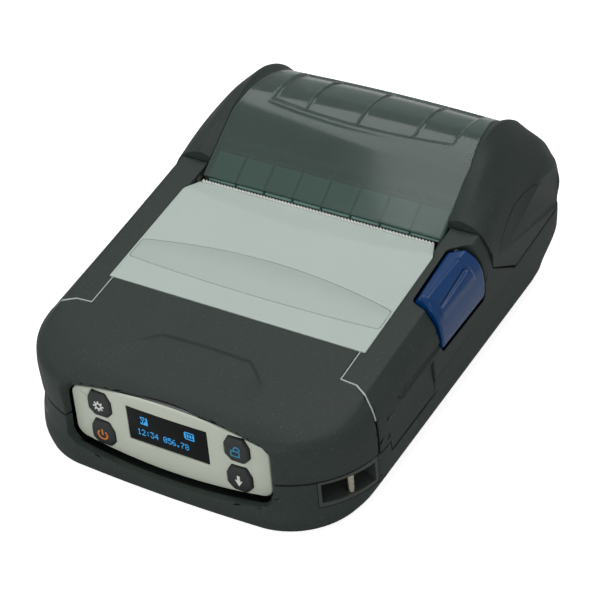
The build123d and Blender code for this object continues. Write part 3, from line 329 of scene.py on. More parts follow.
def slab(name: str, top: Array, low: Array) -> Piece:
    """Closed solid between two grids of points of the same shape.

    Args:
        name: Name of the piece.
        top: Array of (rows, columns, 3) points of one face.
        low: The matching points of the other face.

    Returns:
        The new object.
    """
    rows, cols = top.shape[:2]
    faces = quads(rows, cols, False)
    count = rows * cols
    rim = np.concatenate([
        np.arange(cols), np.arange(1, rows) * cols + cols - 1,
        (rows - 1) * cols + np.arange(cols - 2, -1, -1), np.arange(rows - 2, 0, -1) * cols,
    ])
    after = np.roll(rim, -1)
    wall = np.stack([after, rim, rim + count, after + count], axis=1)
    points = np.concatenate([top.reshape(-1, 3), low.reshape(-1, 3)])
    return mesh_of(name, points, np.concatenate([faces, faces[:, ::-1] + count, wall]).tolist())


def lay(points: Array, axis: Axis, level: float) -> Array:
    """Flat points put into space at a level of an axis, the other two in X, Y, Z order."""
    return np.insert(np.asarray(points, float), axis.value, level, axis=1)


def prism(name: str, outline: Sequence, axis: Axis, low: float, high: float) -> Piece:
    """Outline carried along an axis between two levels."""
    return tube(name, np.stack([lay(outline, axis, low), lay(outline, axis, high)]))


def side_cut(name: str, points: Sequence, low: float = -FAR, high: float = FAR) -> Piece:
    """Prism across the printer from an outline in (y, z)."""
    return prism(name, points, Axis.X, low, high)


def plan_cut(name: str, points: Sequence, low: float = -FAR, high: float = FAR) -> Piece:
    """Upright prism from an outline in (x, y)."""
    return prism(name, points, Axis.Z, low, high)


def box_corners(x: tuple, y: tuple) -> list:
    """Corners of a rectangle between two places along each of its axes."""
    return [(x[0], y[0]), (x[1], y[0]), (x[1], y[1]), (x[0], y[1])]


def cuboid(name: str, x: tuple, y: tuple, z: tuple) -> Piece:
    """Straight cutter between two places along each axis."""
    return plan_cut(name, box_corners(x, y), *z)


def rod(name: str, start: tuple, end: tuple, radius: float, count: int = 32) -> Piece:
    """Round bar whose radius falls by a tenth over a short lip at both ends.

    Args:
        name: Name of the piece.
        start: One end of the bar's axis.
        end: The other end.
        radius: Radius of the bar.
        count: Points round the bar.

    Returns:
        The new object.
    """
    a, b = np.asarray(start, float), np.asarray(end, float)
    way = (b - a) / np.linalg.norm(b - a)
    side = np.cross(way, (0.0, 0.0, 1.0) if abs(way[2]) < 0.9 else (1.0, 0.0, 0.0))
    side /= np.linalg.norm(side)
    up = np.cross(way, side)
    angle = np.linspace(0, 2 * math.pi, count, endpoint=False)[None, :, None]
    lip, length = 0.12 * radius, np.linalg.norm(b - a)
    at = np.array([0, lip, length - lip, length])[:, None, None]
    size = radius * np.array([0.9, 1, 1, 0.9])[:, None, None]
    return tube(name, a + way * at + size * (side * np.cos(angle) + up * np.sin(angle)))


def post(name: str, x: float, y: float, z: tuple, radius: float) -> Piece:
    """Upright bar between two heights."""
    return rod(name, (x, y, z[0]), (x, y, z[1]), radius)


def combine(piece: Piece, jobs: Sequence[tuple]) -> None:
    """Work closed solids into a piece and remove them.

    Args:
        piece: Closed solid to change.
        jobs: Pairs of a solid and what is done with it, in order.
    """
    for other, operation in jobs:
        step = piece.modifiers.new("step", "BOOLEAN")
        step.object, step.operation, step.solver = other, operation, "EXACT"
    settled(piece)
    for other, _ in jobs:
        bpy.data.objects.remove(other)


def carve(piece: Piece, tools: Sequence[Piece], keep: Optional[Piece] = None) -> None:
    """Cut tools out of a piece, after keeping only what lies inside another solid."""
    kept = [(keep, "INTERSECT")] if keep else []
    combine(piece, kept + [(tool, "DIFFERENCE") for tool in tools])


def join(piece: Piece, extras: Sequence[Piece]) -> None:
    """Fuse closed solids into a piece."""
    combine(piece, [(extra, "UNION") for extra in extras])


def settled(piece: Piece) -> None:
    """Make the piece's mesh what its modifiers show, and merge tiny edges while it stays closed.

    Args:
        piece: Piece with its modifiers, which are gone afterwards.
    """
    shown = piece.evaluated_get(bpy.context.evaluated_depsgraph_get())
    data = bpy.data.meshes.new_from_object(shown)
    piece.modifiers.clear()
    piece.data = data
    closed = False
    for tiny in (0.02, 0.005, 0.001):
        if closed:
            break
        work = bmesh.new()
        work.from_mesh(data)
        bmesh.ops.remove_doubles(work, verts=work.verts, dist=tiny * MM)
        bmesh.ops.dissolve_degenerate(work, edges=work.edges, dist=tiny * MM / 4)
        closed = all(len(edge.link_faces) == 2 for edge in work.edges)
        if closed:
            work.to_mesh(data)
        work.free()


def twin(piece: Piece) -> Piece:
    """Copy of a piece with a mesh of its own."""
    return linked(piece.name + "_twin", piece.data.copy())


def places(data: bpy.types.Mesh) -> Array:
    """Corner points of a mesh, in metres.

    Args:
        data: Mesh to read.

    Returns:
        Array of (count, 3).
    """
    points = np.empty(3 * len(data.vertices), np.float32)
    data.vertices.foreach_get("co", points)
    return points.reshape(-1, 3)


def soften(piece: Piece, width: float, angle: float = 38.0, clamp: bool = False) -> None:
    """Round the sharp edges of a piece.

    A corner that the rounding throws further out than its width goes back to the nearest point
    of the form as it was before.

    Args:
        piece: Closed solid to change.
        width: Width of the rounding.
        angle: Angle in degrees from which an edge counts as sharp.
        clamp: Whether roundings are kept from overlapping.
    """
    form = twin(piece)
    edge = piece.modifiers.new("edge", "BEVEL")
    edge.limit_method, edge.angle_limit = "ANGLE", math.radians(angle)
    edge.width, edge.segments = width * MM, 2
    edge.use_clamp_overlap, edge.loop_slide = clamp, True
    settled(piece)
    pulled = twin(piece)
    wrap = pulled.modifiers.new("pull", "SHRINKWRAP")
    wrap.target, wrap.wrap_method = form, "NEAREST_SURFACEPOINT"
    shown = pulled.evaluated_get(bpy.context.evaluated_depsgraph_get())
    here, there = places(piece.data), places(shown.data)
    thrown = np.linalg.norm(here - there, axis=1) > THROWN * width * MM
    here[thrown] = there[thrown]
    piece.data.vertices.foreach_set("co", here.ravel())
    piece.data.update()
    for spare in (pulled, form):
        bpy.data.objects.remove(spare)


def dress(
    piece: Piece, slot: str, nodes: Sequence[str] = (), carrier: Carrier = Carrier.CASE,
    smooth: float = 34.0, finish: str = "",
) -> None:
    """Give a finished piece its shading, material and body, and hide the frame's nodes that it
    stands for.

    Args:
        piece: The finished piece.
        slot: Material slot of the record that it takes.
        nodes: Nodes of the frame that it stands for.
        carrier: Body that it moves with.
        smooth: Angle in degrees up to which edges are shaded smooth.
        finish: Its finish, where that isn't the slot's own.
    """
    data = piece.data
    data.shade_smooth()
    data.set_sharp_from_angle(angle=math.radians(smooth))
    data.materials.clear()
    data.materials.append(MATERIALS[finish or slot])
    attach(piece, carrier.value)
    if nodes:
        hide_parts(*nodes)
    log.info("%s: %d faces on %s", piece.name, len(data.polygons), carrier.value)


def linear(red: int, green: int, blue: int, part: float = 1.0) -> tuple:
    """Linear colour with alpha from the 0 to 255 values that a screen shows.

    Args:
        red: Red value.
        green: Green value.
        blue: Blue value.
        part: Share of each value that is kept.

    Returns:
        Red, green, blue and alpha.
    """
    shares = np.array([int(part * value) for value in (red, green, blue)]) / 255
    line = np.where(shares <= 0.04045, shares / 12.92, ((shares + 0.055) / 1.055) ** 2.4)
    return (*line.tolist(), 1.0)


@dataclass(frozen=True)
class Wiring:
    """Shader nodes of one tree, added and linked by the names of their sockets."""

    tree: bpy.types.NodeTree

    def feed(self, node: bpy.types.Node, inputs: dict) -> None:
        """Set inputs of a node, or link those whose value is another node's output.

        Args:
            node: Node to change.
            inputs: Values or outputs by the name or number of the input.
        """
        for name, value in inputs.items():
            if isinstance(value, Socket):
                self.tree.links.new(value, node.inputs[name])
            else:
                node.inputs[name].default_value = value

    def add(
        self, kind: str, inputs: dict, output: Union[int, str] = 0, **settings: str,
    ) -> Socket:
        """Add a node.

        Args:
            kind: Its type, without the words that all shader nodes start with.
            inputs: Its inputs, as feed() takes them.
            output: Name or number of the wanted output.
            settings: Its own settings.

        Returns:
            The wanted output.
        """
        node = self.tree.nodes.new("ShaderNode" + kind)
        for name, value in settings.items():
            setattr(node, name, value)
        self.feed(node, inputs)
        return node.outputs[output]

    def noise(self, scale: float, detail: float = 2.0) -> Socket:
        """Noise over the Object coordinates."""
        place = self.add("TexCoord", {}, "Object")
        return self.add("TexNoise", {"Vector": place, "Scale": scale, "Detail": detail}, "Fac")

    def mix(self, share: Socket, low: Union[Socket, tuple], high: tuple) -> Socket:
        """Colour between two others by a share."""
        return self.add("Mix", {0: share, 6: low, 7: high}, 2, data_type="RGBA")

    def spread(self, share: Socket, low: float, high: float) -> Socket:
        """Value between two others by a share."""
        return self.add("MapRange", {"Value": share, "To Min": low, "To Max": high}, "Result")

    def bump(self, height: Socket, relief: float, strength: float) -> Socket:
        """Normal of a surface whose noise stands up by a relief."""
        inputs = {"Height": height, "Distance": relief * MM, "Strength": strength}
        return self.add("Bump", inputs, "Normal")


def blank(name: str) -> tuple:
    """Empty material, its wiring and its one shader.

    Args:
        name: Name of the material.

    Returns:
        The three of them.
    """
    material = bpy.data.materials.new(name)
    material.use_nodes = True
    tree = material.node_tree
    return material, Wiring(tree), tree.nodes["Principled BSDF"]


@dataclass(frozen=True)
class Moulding:
    """Moulded plastic or rubber: mottled colour, fine grain and a soft sheen."""

    name: str
    colour: tuple  # main colour, 0 to 255
    shade: tuple  # colour of the mottling
    roughness: float = 0.6
    relief: float = 0.02  # height of the grain
    grain: float = 0.35  # size of the grain
    coat: float = 0.0  # weight of the glossy top layer
    shine: float = 0.5  # level of the mirror-like part
    fleck: tuple = ()  # colour of small specks
    flecks: float = 0.0  # how common the specks are, 0 to 1

    def build(self) -> bpy.types.Material:
        """Material with broad and fine noise driving colour, roughness and bump.

        Returns:
            The new material.
        """
        material, wires, shader = blank(self.name)
        broad, fine = wires.noise(60.0, 3.0), wires.noise(1 / (self.grain * MM))
        half = wires.add("Math", {0: fine, 1: 0.55}, operation="MULTIPLY")
        blend = wires.add("Math", {0: broad, 1: 0.45, 2: half}, operation="MULTIPLY_ADD")
        limits = {"Value": blend, "From Min": 0.35, "From Max": 0.65}
        sharp = wires.add("MapRange", limits, "Result")
        tone = wires.mix(sharp, linear(*self.shade), linear(*self.colour))
        if self.flecks:
            ramp = wires.tree.nodes.new("ShaderNodeValToRGB")
            for element, place in zip(ramp.color_ramp.elements, (0.69, 0.75)):
                element.position = place - 0.1 * self.flecks
            wires.feed(ramp, {"Fac": fine})
            tone = wires.mix(ramp.outputs["Color"], tone, linear(*self.fleck))
        wires.feed(shader, {
            "Base Color": tone, "Specular IOR Level": self.shine,
            "Roughness": wires.spread(broad, self.roughness - 0.06, self.roughness + 0.06),
            "Normal": wires.bump(fine, self.relief, 0.6),
            "Coat Weight": self.coat, "Coat Roughness": 0.12,
        })
        return material


@dataclass(frozen=True)
class Sheet:
    """Bare metal with a fine brushed or ground streak along one axis."""

    name: str
    colour: tuple  # 0 to 255
    roughness: float = 0.3
    streak: float = 20.0  # how many times longer than wide the streaks are
    axis: Axis = Axis.X

    def build(self) -> bpy.types.Material:
        """Material whose stretched noise drives roughness, tone and bump.

        Returns:
            The new material.
        """
        material, wires, shader = blank(self.name)
        scale = [1.0, 1.0, 1.0]
        scale[self.axis.value] = 1 / self.streak
        place = wires.add("TexCoord", {}, "Object")
        turned = wires.add("Mapping", {"Vector": place, "Scale": scale})
        noise = wires.add("TexNoise", {"Vector": turned, "Scale": 2500.0, "Detail": 3.0}, "Fac")
        wires.feed(shader, {
            "Base Color": wires.mix(noise, linear(*self.colour, 0.82), linear(*self.colour)),
            "Roughness": wires.spread(noise, self.roughness - 0.08, self.roughness + 0.1),
            "Normal": wires.bump(noise, 0.004, 1.0), "Metallic": 1.0,
        })
        return material


@dataclass(frozen=True)
class Clear:
    """Tinted clear plastic with a little haze."""

    name: str
    tint: tuple  # colour that light takes in passing, 0 to 255
    deep: tuple  # colour of the thicker patches
    roughness: float
    clearness: float  # share of the light that passes

    def build(self) -> bpy.types.Material:
        """Material that passes tinted light and keeps a glossy face.

        Returns:
            The new material.
        """
        material, wires, shader = blank(self.name)
        noise = wires.noise(90.0)
        wires.feed(shader, {
            "Base Color": wires.mix(noise, linear(*self.deep), linear(*self.tint)),
            "Roughness": wires.spread(noise, self.roughness - 0.04, self.roughness + 0.05),
            "Transmission Weight": self.clearness, "IOR": 1.49,
        })
        return material


@dataclass(frozen=True)
class Glow:
    """Lit dots of a display, faintly uneven."""

    name: str
    colour: tuple  # 0 to 255
    strength: float  # brightness, where 1 shows the colour as written

    def build(self) -> bpy.types.Material:
        """Material that gives off its own colour.

        Returns:
            The new material.
        """
        material, wires, shader = blank(self.name)
        tone = wires.mix(wires.noise(1500.0), linear(*self.colour, 0.75), linear(*self.colour))
        wires.feed(shader, {
            "Emission Color": tone, "Base Color": tone, "Emission Strength": self.strength,
            "Roughness": 0.5,
        })
        return material


FINISHES = {
    "body_shell": Moulding(
        "charcoal_shell", (50, 59, 55), (43, 52, 48), 0.55, 0.03, 0.42, shine=0.3,
        fleck=(84, 95, 88), flecks=0.12,
    ),
    "light_panel": Moulding("sage_panel", (184, 197, 190), (179, 192, 185), 0.5, 0.008),
    "light_plate": Moulding("pale_plate", (178, 190, 183), (174, 186, 179), 0.42, 0.004),
    "bezel_plastic": Moulding("warm_bezel", (208, 215, 200), (202, 209, 194), 0.42, 0.006),
    "window_plastic": Clear("smoke_window", (140, 164, 157), (134, 158, 151), 0.1, 0.84),
    "button_plastic": Moulding(
        "blue_button", (0, 58, 112), (0, 51, 102), 0.24, 0.003, 0.8, 0.35, 0.3,
    ),
    "key_rubber": Moulding("key_rubber", (44, 47, 47), (36, 39, 39), 0.5, 0.015),
    "display_glass": Moulding(
        "display_glass", (14, 16, 17), (11, 12, 13), 0.3, 0.002, 2.0, shine=0.15,
    ),
    "inner_plastic": Moulding("black_moulding", (34, 36, 36), (26, 27, 27), 0.45, 0.01, 0.5),
    "bright_steel": Sheet("bright_steel", (212, 212, 206), 0.28),
    "spring_steel": Sheet("spring_steel", (190, 190, 186), 0.3, 4.0, Axis.Y),
    "gear_plastic": Moulding("acetal_gear", (222, 218, 204), (212, 207, 192), 0.4, 0.006),
    "bush_brass": Sheet("sintered_brass", (196, 160, 96), 0.35, 3.0),
    "platen_rubber": Moulding("ground_rubber", (34, 34, 34), (26, 26, 26), 0.75, grain=0.2),
    "seal_rubber": Moulding("seal_gloss", (16, 17, 17), (12, 12, 12), 0.15, 0.004, coat=0.4),
    "ceramic": Moulding("head_ceramic", (214, 212, 204), (206, 204, 196), 0.25, 0.002),
    "board_green": Moulding(
        "board_green", (38, 104, 66), (28, 84, 52), 0.4, grain=0.9, fleck=(190, 180, 120),
        flecks=0.6,
    ),
    "foot_rubber": Moulding("foot_rubber", (40, 40, 40), (30, 30, 30), 0.85),
    "battery_plastic": Moulding("battery_shell", (58, 59, 60), (48, 49, 50), 0.4),
    "teal": Moulding("teal_comb", (46, 82, 76), (40, 74, 68), 0.3, 0.006, coat=0.3),
    "trim": Moulding("pale_trim", (178, 186, 182), (168, 176, 172), 0.4, 0.004),
    "white": Moulding("icon_white", (232, 234, 230), (224, 226, 222), 0.5, 0.002),
    "orange": Moulding("icon_orange", (222, 138, 62), (212, 126, 52), 0.5, 0.002),
    "blue": Moulding("icon_blue", (56, 158, 196), (46, 146, 184), 0.5, 0.002),
    "dots": Glow("display_dots", (46, 150, 214), 0.9),
    "lining": Moulding("gloss_lining", (66, 72, 68), (58, 64, 60), 0.25, 0.003, 0.8, shine=0.3),
    "pin": Sheet("polished_pin", (206, 202, 184), 0.25),
    "guide": Moulding("guide_teal", (172, 212, 203), (156, 200, 190), 0.25, 0.003, 0.8, 0.3),
    "teeth": Moulding("tear_steel", (246, 248, 244), (232, 234, 230), 0.3, 0.002),
}
SPECIAL = {  # nodes whose finish differs from the rest of their slot
    "left_strap_insert": "lining", "right_strap_insert": "lining", "left_strap_pin": "pin",
    "right_strap_pin": "pin", "tear_bar": "teeth", "platen_carrier": "teal",
}
MATERIALS = {}  # what main() makes of FINISHES, under the same names


@dataclass(frozen=True)
class Form:
    """Outer form of the printer: a bowed, tapering plan whose sizes change with height.

    A plan has a front that bows, front corners of large radius, straight sides that close in
    towards the rear, and small rear corners. Sizes between the listed heights follow ease().
    """

    half: float  # half of the greatest width
    front: float  # foremost place of the body
    rear: float  # rearmost place of the body
    bow: float  # how far the middle of the front stands before its ends
    heights: tuple  # heights, or shares from the seam to the deck, where sizes are listed
    sides: tuple  # how far each plan lies inside the greatest half width at the front
    rear_sides: tuple  # the same at the rear
    fronts: tuple  # how far each plan lies behind the foremost place
    rears: tuple  # how far each plan lies before the rearmost place
    corners: tuple  # radius of the front corners
    rear_corners: tuple  # radius of the rear corners

    RUNS = (16, 18, 44, 10, 8)  # columns on the five stretches of the right half

    def columns(self) -> tuple:
        """Which stretch of the right half plan each column lies on, and its share along it.

        Returns:
            Array of stretches and array of shares.
        """
        stretch = np.repeat(np.arange(len(self.RUNS)), self.RUNS)
        share = np.concatenate([np.arange(n) / n for n in self.RUNS])
        return np.append(stretch, len(self.RUNS) - 1), np.append(share, 1.0)

    def plan(self, level: Array, inset: float = 0.0) -> tuple:
        """Plan points of the right half.

        Front stretch: y = front + rise (x / corner start) squared. Corners: quarter circles.
        Sides: straight from front half width to rear half width. Rear: straight across.

        Args:
            level: Array of (rows, columns) heights or shares.
            inset: Distance by which the plan is drawn in.

        Returns:
            Arrays x and y of the same shape.
        """
        side, rear_side, ahead, behind, r, rr = (
            ease(level, self.heights, sizes) for sizes in (
                self.sides, self.rear_sides, self.fronts, self.rears, self.corners,
                self.rear_corners,
            )
        )
        fh, rh = self.half - side - inset, self.half - rear_side - inset
        front, rear = self.front + ahead + inset, self.rear - behind - inset
        r, rr = r - inset, rr - inset
        slope = (rh - fh) / (rear - front - self.bow)
        cy = front + self.bow * ((fh - r) / fh) ** 2 + r
        cx = fh + slope * (cy - front - self.bow) - r
        ry = rear - rr
        rx = fh + slope * (ry - front - self.bow) - rr
        stretch, t = self.columns()
        a = (t - 1) * math.pi / 2
        b = t * math.pi / 2
        side_y = cy + t * (ry - cy)
        flank = fh + slope * (side_y - front - self.bow)
        xs = [t * cx, cx + r * np.cos(a), flank, rx + rr * np.cos(b), rx * (1 - t)]
        ys = [
            front + (cy - r - front) * t**2, cy + r * np.sin(a), side_y, ry + rr * np.sin(b),
            rear + 0 * t * rx,
        ]
        pick = [stretch == k for k in range(len(self.RUNS))]
        return np.select(pick, xs), np.select(pick, ys)

    def edge_x(self, y: Array, level: float) -> Array:
        """Half width of the plan at one height.

        Args:
            y: Places along the printer.
            level: Height or share.

        Returns:
            Array in the shape of y.
        """
        stretch, _ = self.columns()
        x, py = self.plan(np.full((1, len(stretch)), level))
        return np.interp(y, py[0], x[0])


def whole(right: Array) -> Array:
    """Closed loops from right-half columns: the left half is the mirror image, run backwards."""
    left = right[:, -2:0:-1] * np.array([-1.0, 1.0, 1.0])
    return np.concatenate([right, left], axis=1)


@dataclass(frozen=True)
class Layout:
    """Sizes and sloping planes that several sub-assemblies share."""

    seam: float = 0.5  # gap between the lower case and all above it
    wall: float = 2.4  # thickness of the walls
    front: float = -78.0
    rear: float = 78.0
    panel_front: float = -34.7  # front edge of the control panel
    tear: float = 14.2  # place of the tear bar
    arm_front: float = 21.6  # the lid's arms: their front ends,
    arm_foot: float = 38.0  # where these reach the seam,
    arm_knee: float = 33.0  # and the height at which they start to slope to it
    arch_y: float = 50.0  # axis of the arch over the roll
    arch_z: float = 30.5
    arch_radius: float = 28.0
    hinge_y: float = 74.6  # axis of the lid's hinge
    hinge_z: float = 27.741
    barrel: float = 3.4  # radius of the hinge barrel
    lug_x: float = 31.0  # middle of the hinge lugs
    flap: tuple = (-46.3, -18.9)  # ends of the port flap's opening
    ports: tuple = (-44.0, -21.0)  # ends of the room behind it

    def parting(self, y: Array) -> Array:
        """Height of the seam between the lower case and all above it."""
        return 16.9 + (y - self.front) * 0.046795

    def deck(self, y: Array) -> Array:
        """Height of the sloping deck."""
        return 32.4 + (y - self.front) * 0.114103

    def arch(self, radius: float, start: float, end: float, count: int) -> Array:
        """Points in (y, z) at a radius about the arch's axis, between two angles in degrees."""
        axis = np.array([self.arch_y, self.arch_z])
        return axis + radius * circle(np.radians(np.linspace(start, end, count)))

    def hinge(
        self, name: str, low: float, high: float, radius: float, count: int = 32,
    ) -> Piece:
        """Bar on the hinge's axis between two places across the printer."""
        ends = ((x, self.hinge_y, self.hinge_z) for x in (low, high))
        return rod(name, *ends, radius, count)


PLAN = Layout()
CASE = Form(
    57.6, PLAN.front, PLAN.rear, 2.4, (0.8, 3.5, 9.0, 16.5, 29.0),
    (5.2, 3.0, 0.6, 0.1, 0.7), (6.8, 4.6, 2.2, 1.7, 2.3), (0.0, 0.0, 0.8, 0.9, 2.2),
    (3.12, 1.8, 0.36, 0.06, 0.42), (22.4, 24.0, 28.5, 30.5, 29.5), (24.0, 25.0, 24.0, 12.5, 9.5),
)
UPPER = Form(
    57.6, PLAN.front, 50.0, 2.4, (0.0, 0.36, 0.74, 1.0),
    (0.25, 0.5, 2.5, 6.6), (0.65, 0.9, 2.2, 5.2), (1.0, 1.2, 1.8, 4.5),
    (0.0, 0.0, 0.0, 0.0), (30.5, 29.0, 25.3, 19.5), (1.0, 1.0, 1.0, 1.0),
)


def arched(x: Array, first: Array, second: Array, radius: float, steps: int, spare: int) -> Array:
    """Outline of two arcs between two upright ends, with its four corners rounded.

    Args:
        x: Places at which both arcs are given.
        first: Heights of the arc that is run forwards.
        second: Heights of the arc that is run back.
        radius: Radius of the corners.
        steps: Points on each corner, less one.
        spare: Points left out beside each corner, to make room for it.

    Returns:
        Outline points.
    """
    corners = np.concatenate([np.stack([x, first], 1), np.stack([x, second], 1)[::-1]])
    run = np.arange(len(x))
    place = np.tile(np.minimum(run, run[::-1]), 2)
    keep = (place == 0) | (place > spare)
    return rounded(corners[keep], np.where(place == 0, radius, 0.0)[keep], steps)


@dataclass(frozen=True)
class Bezel:
    """Display surround: an arched, bowed plate with four keys and a display."""

    half: float = 33.2  # half width of the plate
    tops: tuple = (31.7, 27.0)  # heights of the top edge at the middle and at the ends
    lows: tuple = (6.7, 9.2)  # heights of the bottom edge, likewise
    face: float = -73.8  # foremost place of its face
    bow: float = 1.2  # how far its ends stand behind its middle
    thickness: float = 2.2
    corner: float = 3.6  # radius of its corners
    gap: float = 0.9  # gap below it, which the seal fills
    beside: float = 0.35  # gap beside it
    above: float = 0.2  # gap above it
    display: tuple = (27.0, 12.2)  # width and height of the display
    display_z: float = 20.9  # height of the display's middle
    key_x: float = 23.1  # place of the keys
    key_rows: tuple = (24.0, 13.2)  # heights of the upper and lower keys
    key_size: tuple = (8.0, 9.0)  # width and height of a key
    proud: float = 0.8  # how far the keys stand out
    hole_depths: tuple = (-80, -66)  # ends in y of a cutter through the plate
    seal_depths: tuple = (-80, -60)  # and of one through the seal

    def outline(self, grow: float = 0.0) -> Array:
        """Edge of the plate in (x, z).

        An arc's height is middle - (middle - end)(x / half) squared.

        Args:
            grow: Distance by which it is drawn outwards.

        Returns:
            Outline points.
        """
        half = self.half + grow
        x = np.linspace(-half, half, 25)
        top = self.tops[0] - (self.tops[0] - self.tops[1]) * (x / half) ** 2 + grow
        low = self.lows[0] + (self.lows[1] - self.lows[0]) * (x / half) ** 2 - grow
        return arched(x, top, low, self.corner, 8, 2)

    def mouth(self, inset: float = 0.0) -> Array:
        """Edge of the opening round the plate: close above, wider beside, widest below it.

        Args:
            inset: Distance by which it is drawn inwards.

        Returns:
            Outline points.
        """
        around = self.outline(self.beside - inset)
        rise, fall = self.above - self.beside, self.gap - self.beside
        share = smooth_step(around[:, 1], 16.0, 24.0)
        return around + np.stack([0 * share, share * rise - (1 - share) * fall], 1)

    def opening(self) -> Piece:
        """Cutter of the opening, which flares towards the front above and beside the plate.

        Returns:
            The new object.
        """
        near, wide = self.mouth(), self.mouth(-13.0)
        share = smooth_step(near[:, 1:2], 8.0, 15.0)
        wide = near + share * (wide - near)
        rows = ((wide, -14.2), (near, 0.9), (near, 12))
        return tube("mouth", np.stack([lay(edge, Axis.Y, self.face + y) for edge, y in rows]))

    def screen(self, grow: float, radius: float) -> Array:
        """Edge of the display in (x, z).

        Args:
            grow: Distance by which it is drawn outwards.
            radius: Radius of its corners.

        Returns:
            Outline points.
        """
        w, h = self.display[0] / 2 + grow, self.display[1] / 2 + grow
        return rounded(box_corners((-w, w), (self.display_z - h, self.display_z + h)), radius, 3)

    def key_outline(self, x: float, z: float, grow: float = 0.0) -> Array:
        """Uneven octagon of a key in (x, z).

        Args:
            x: Middle of the key.
            z: Height of its middle.
            grow: Distance by which it is drawn outwards.

        Returns:
            Outline points.
        """
        w, h = self.key_size[0] / 2 + grow, self.key_size[1] / 2 + grow
        share = np.array([
            (-1, 0.25), (-0.55, 1), (0.62, 1), (1, 0.35), (1, -0.45), (0.5, -1), (-0.5, -1),
            (-1, -0.55),
        ])
        return rounded(share * (w, h) + (x, z), 0.7 + 0.4 * grow, 3)

    def key_face(self, x: float) -> float:
        """Foremost place of the keys at x."""
        return self.face + self.back(np.array(x)).item() - self.proud

    def back(self, x: Array) -> Array:
        """How far the bowed face lies behind its middle at x."""
        return self.bow * (x / self.half) ** 2

    def bowed(self, name: str, outline: Array, front: float, lip: float) -> Piece:
        """Solid of an outline whose front follows the bow and whose front edge is rounded.

        The front is a fan of rings that shrink towards the outline's middle, and the edge is a
        quarter circle of radius lip.

        Args:
            name: Name of the piece.
            outline: Points in (x, z).
            front: Place of the front face at the middle.
            lip: Radius of the front edge.

        Returns:
            The new object.
        """
        centre = outline.mean(axis=0)
        normal = outward(outline)
        turn = np.linspace(0, math.pi / 2, 5)
        scale = np.linspace(0.86, 0.04, 6)
        inset = np.concatenate([[0.0], lip * (1 - np.cos(turn))])
        fall = np.concatenate([[self.thickness], lip * (1 - np.sin(turn)), 0 * scale])
        rings = [outline - normal * d for d in inset]
        rings += [centre + (rings[-1] - centre) * s for s in scale]
        flat = np.stack(rings)
        y = front + self.back(flat[..., 0]) + fall[:, None]
        return tube(name, np.stack([flat[..., 0], y, flat[..., 1]], axis=-1))


BEZEL = Bezel()


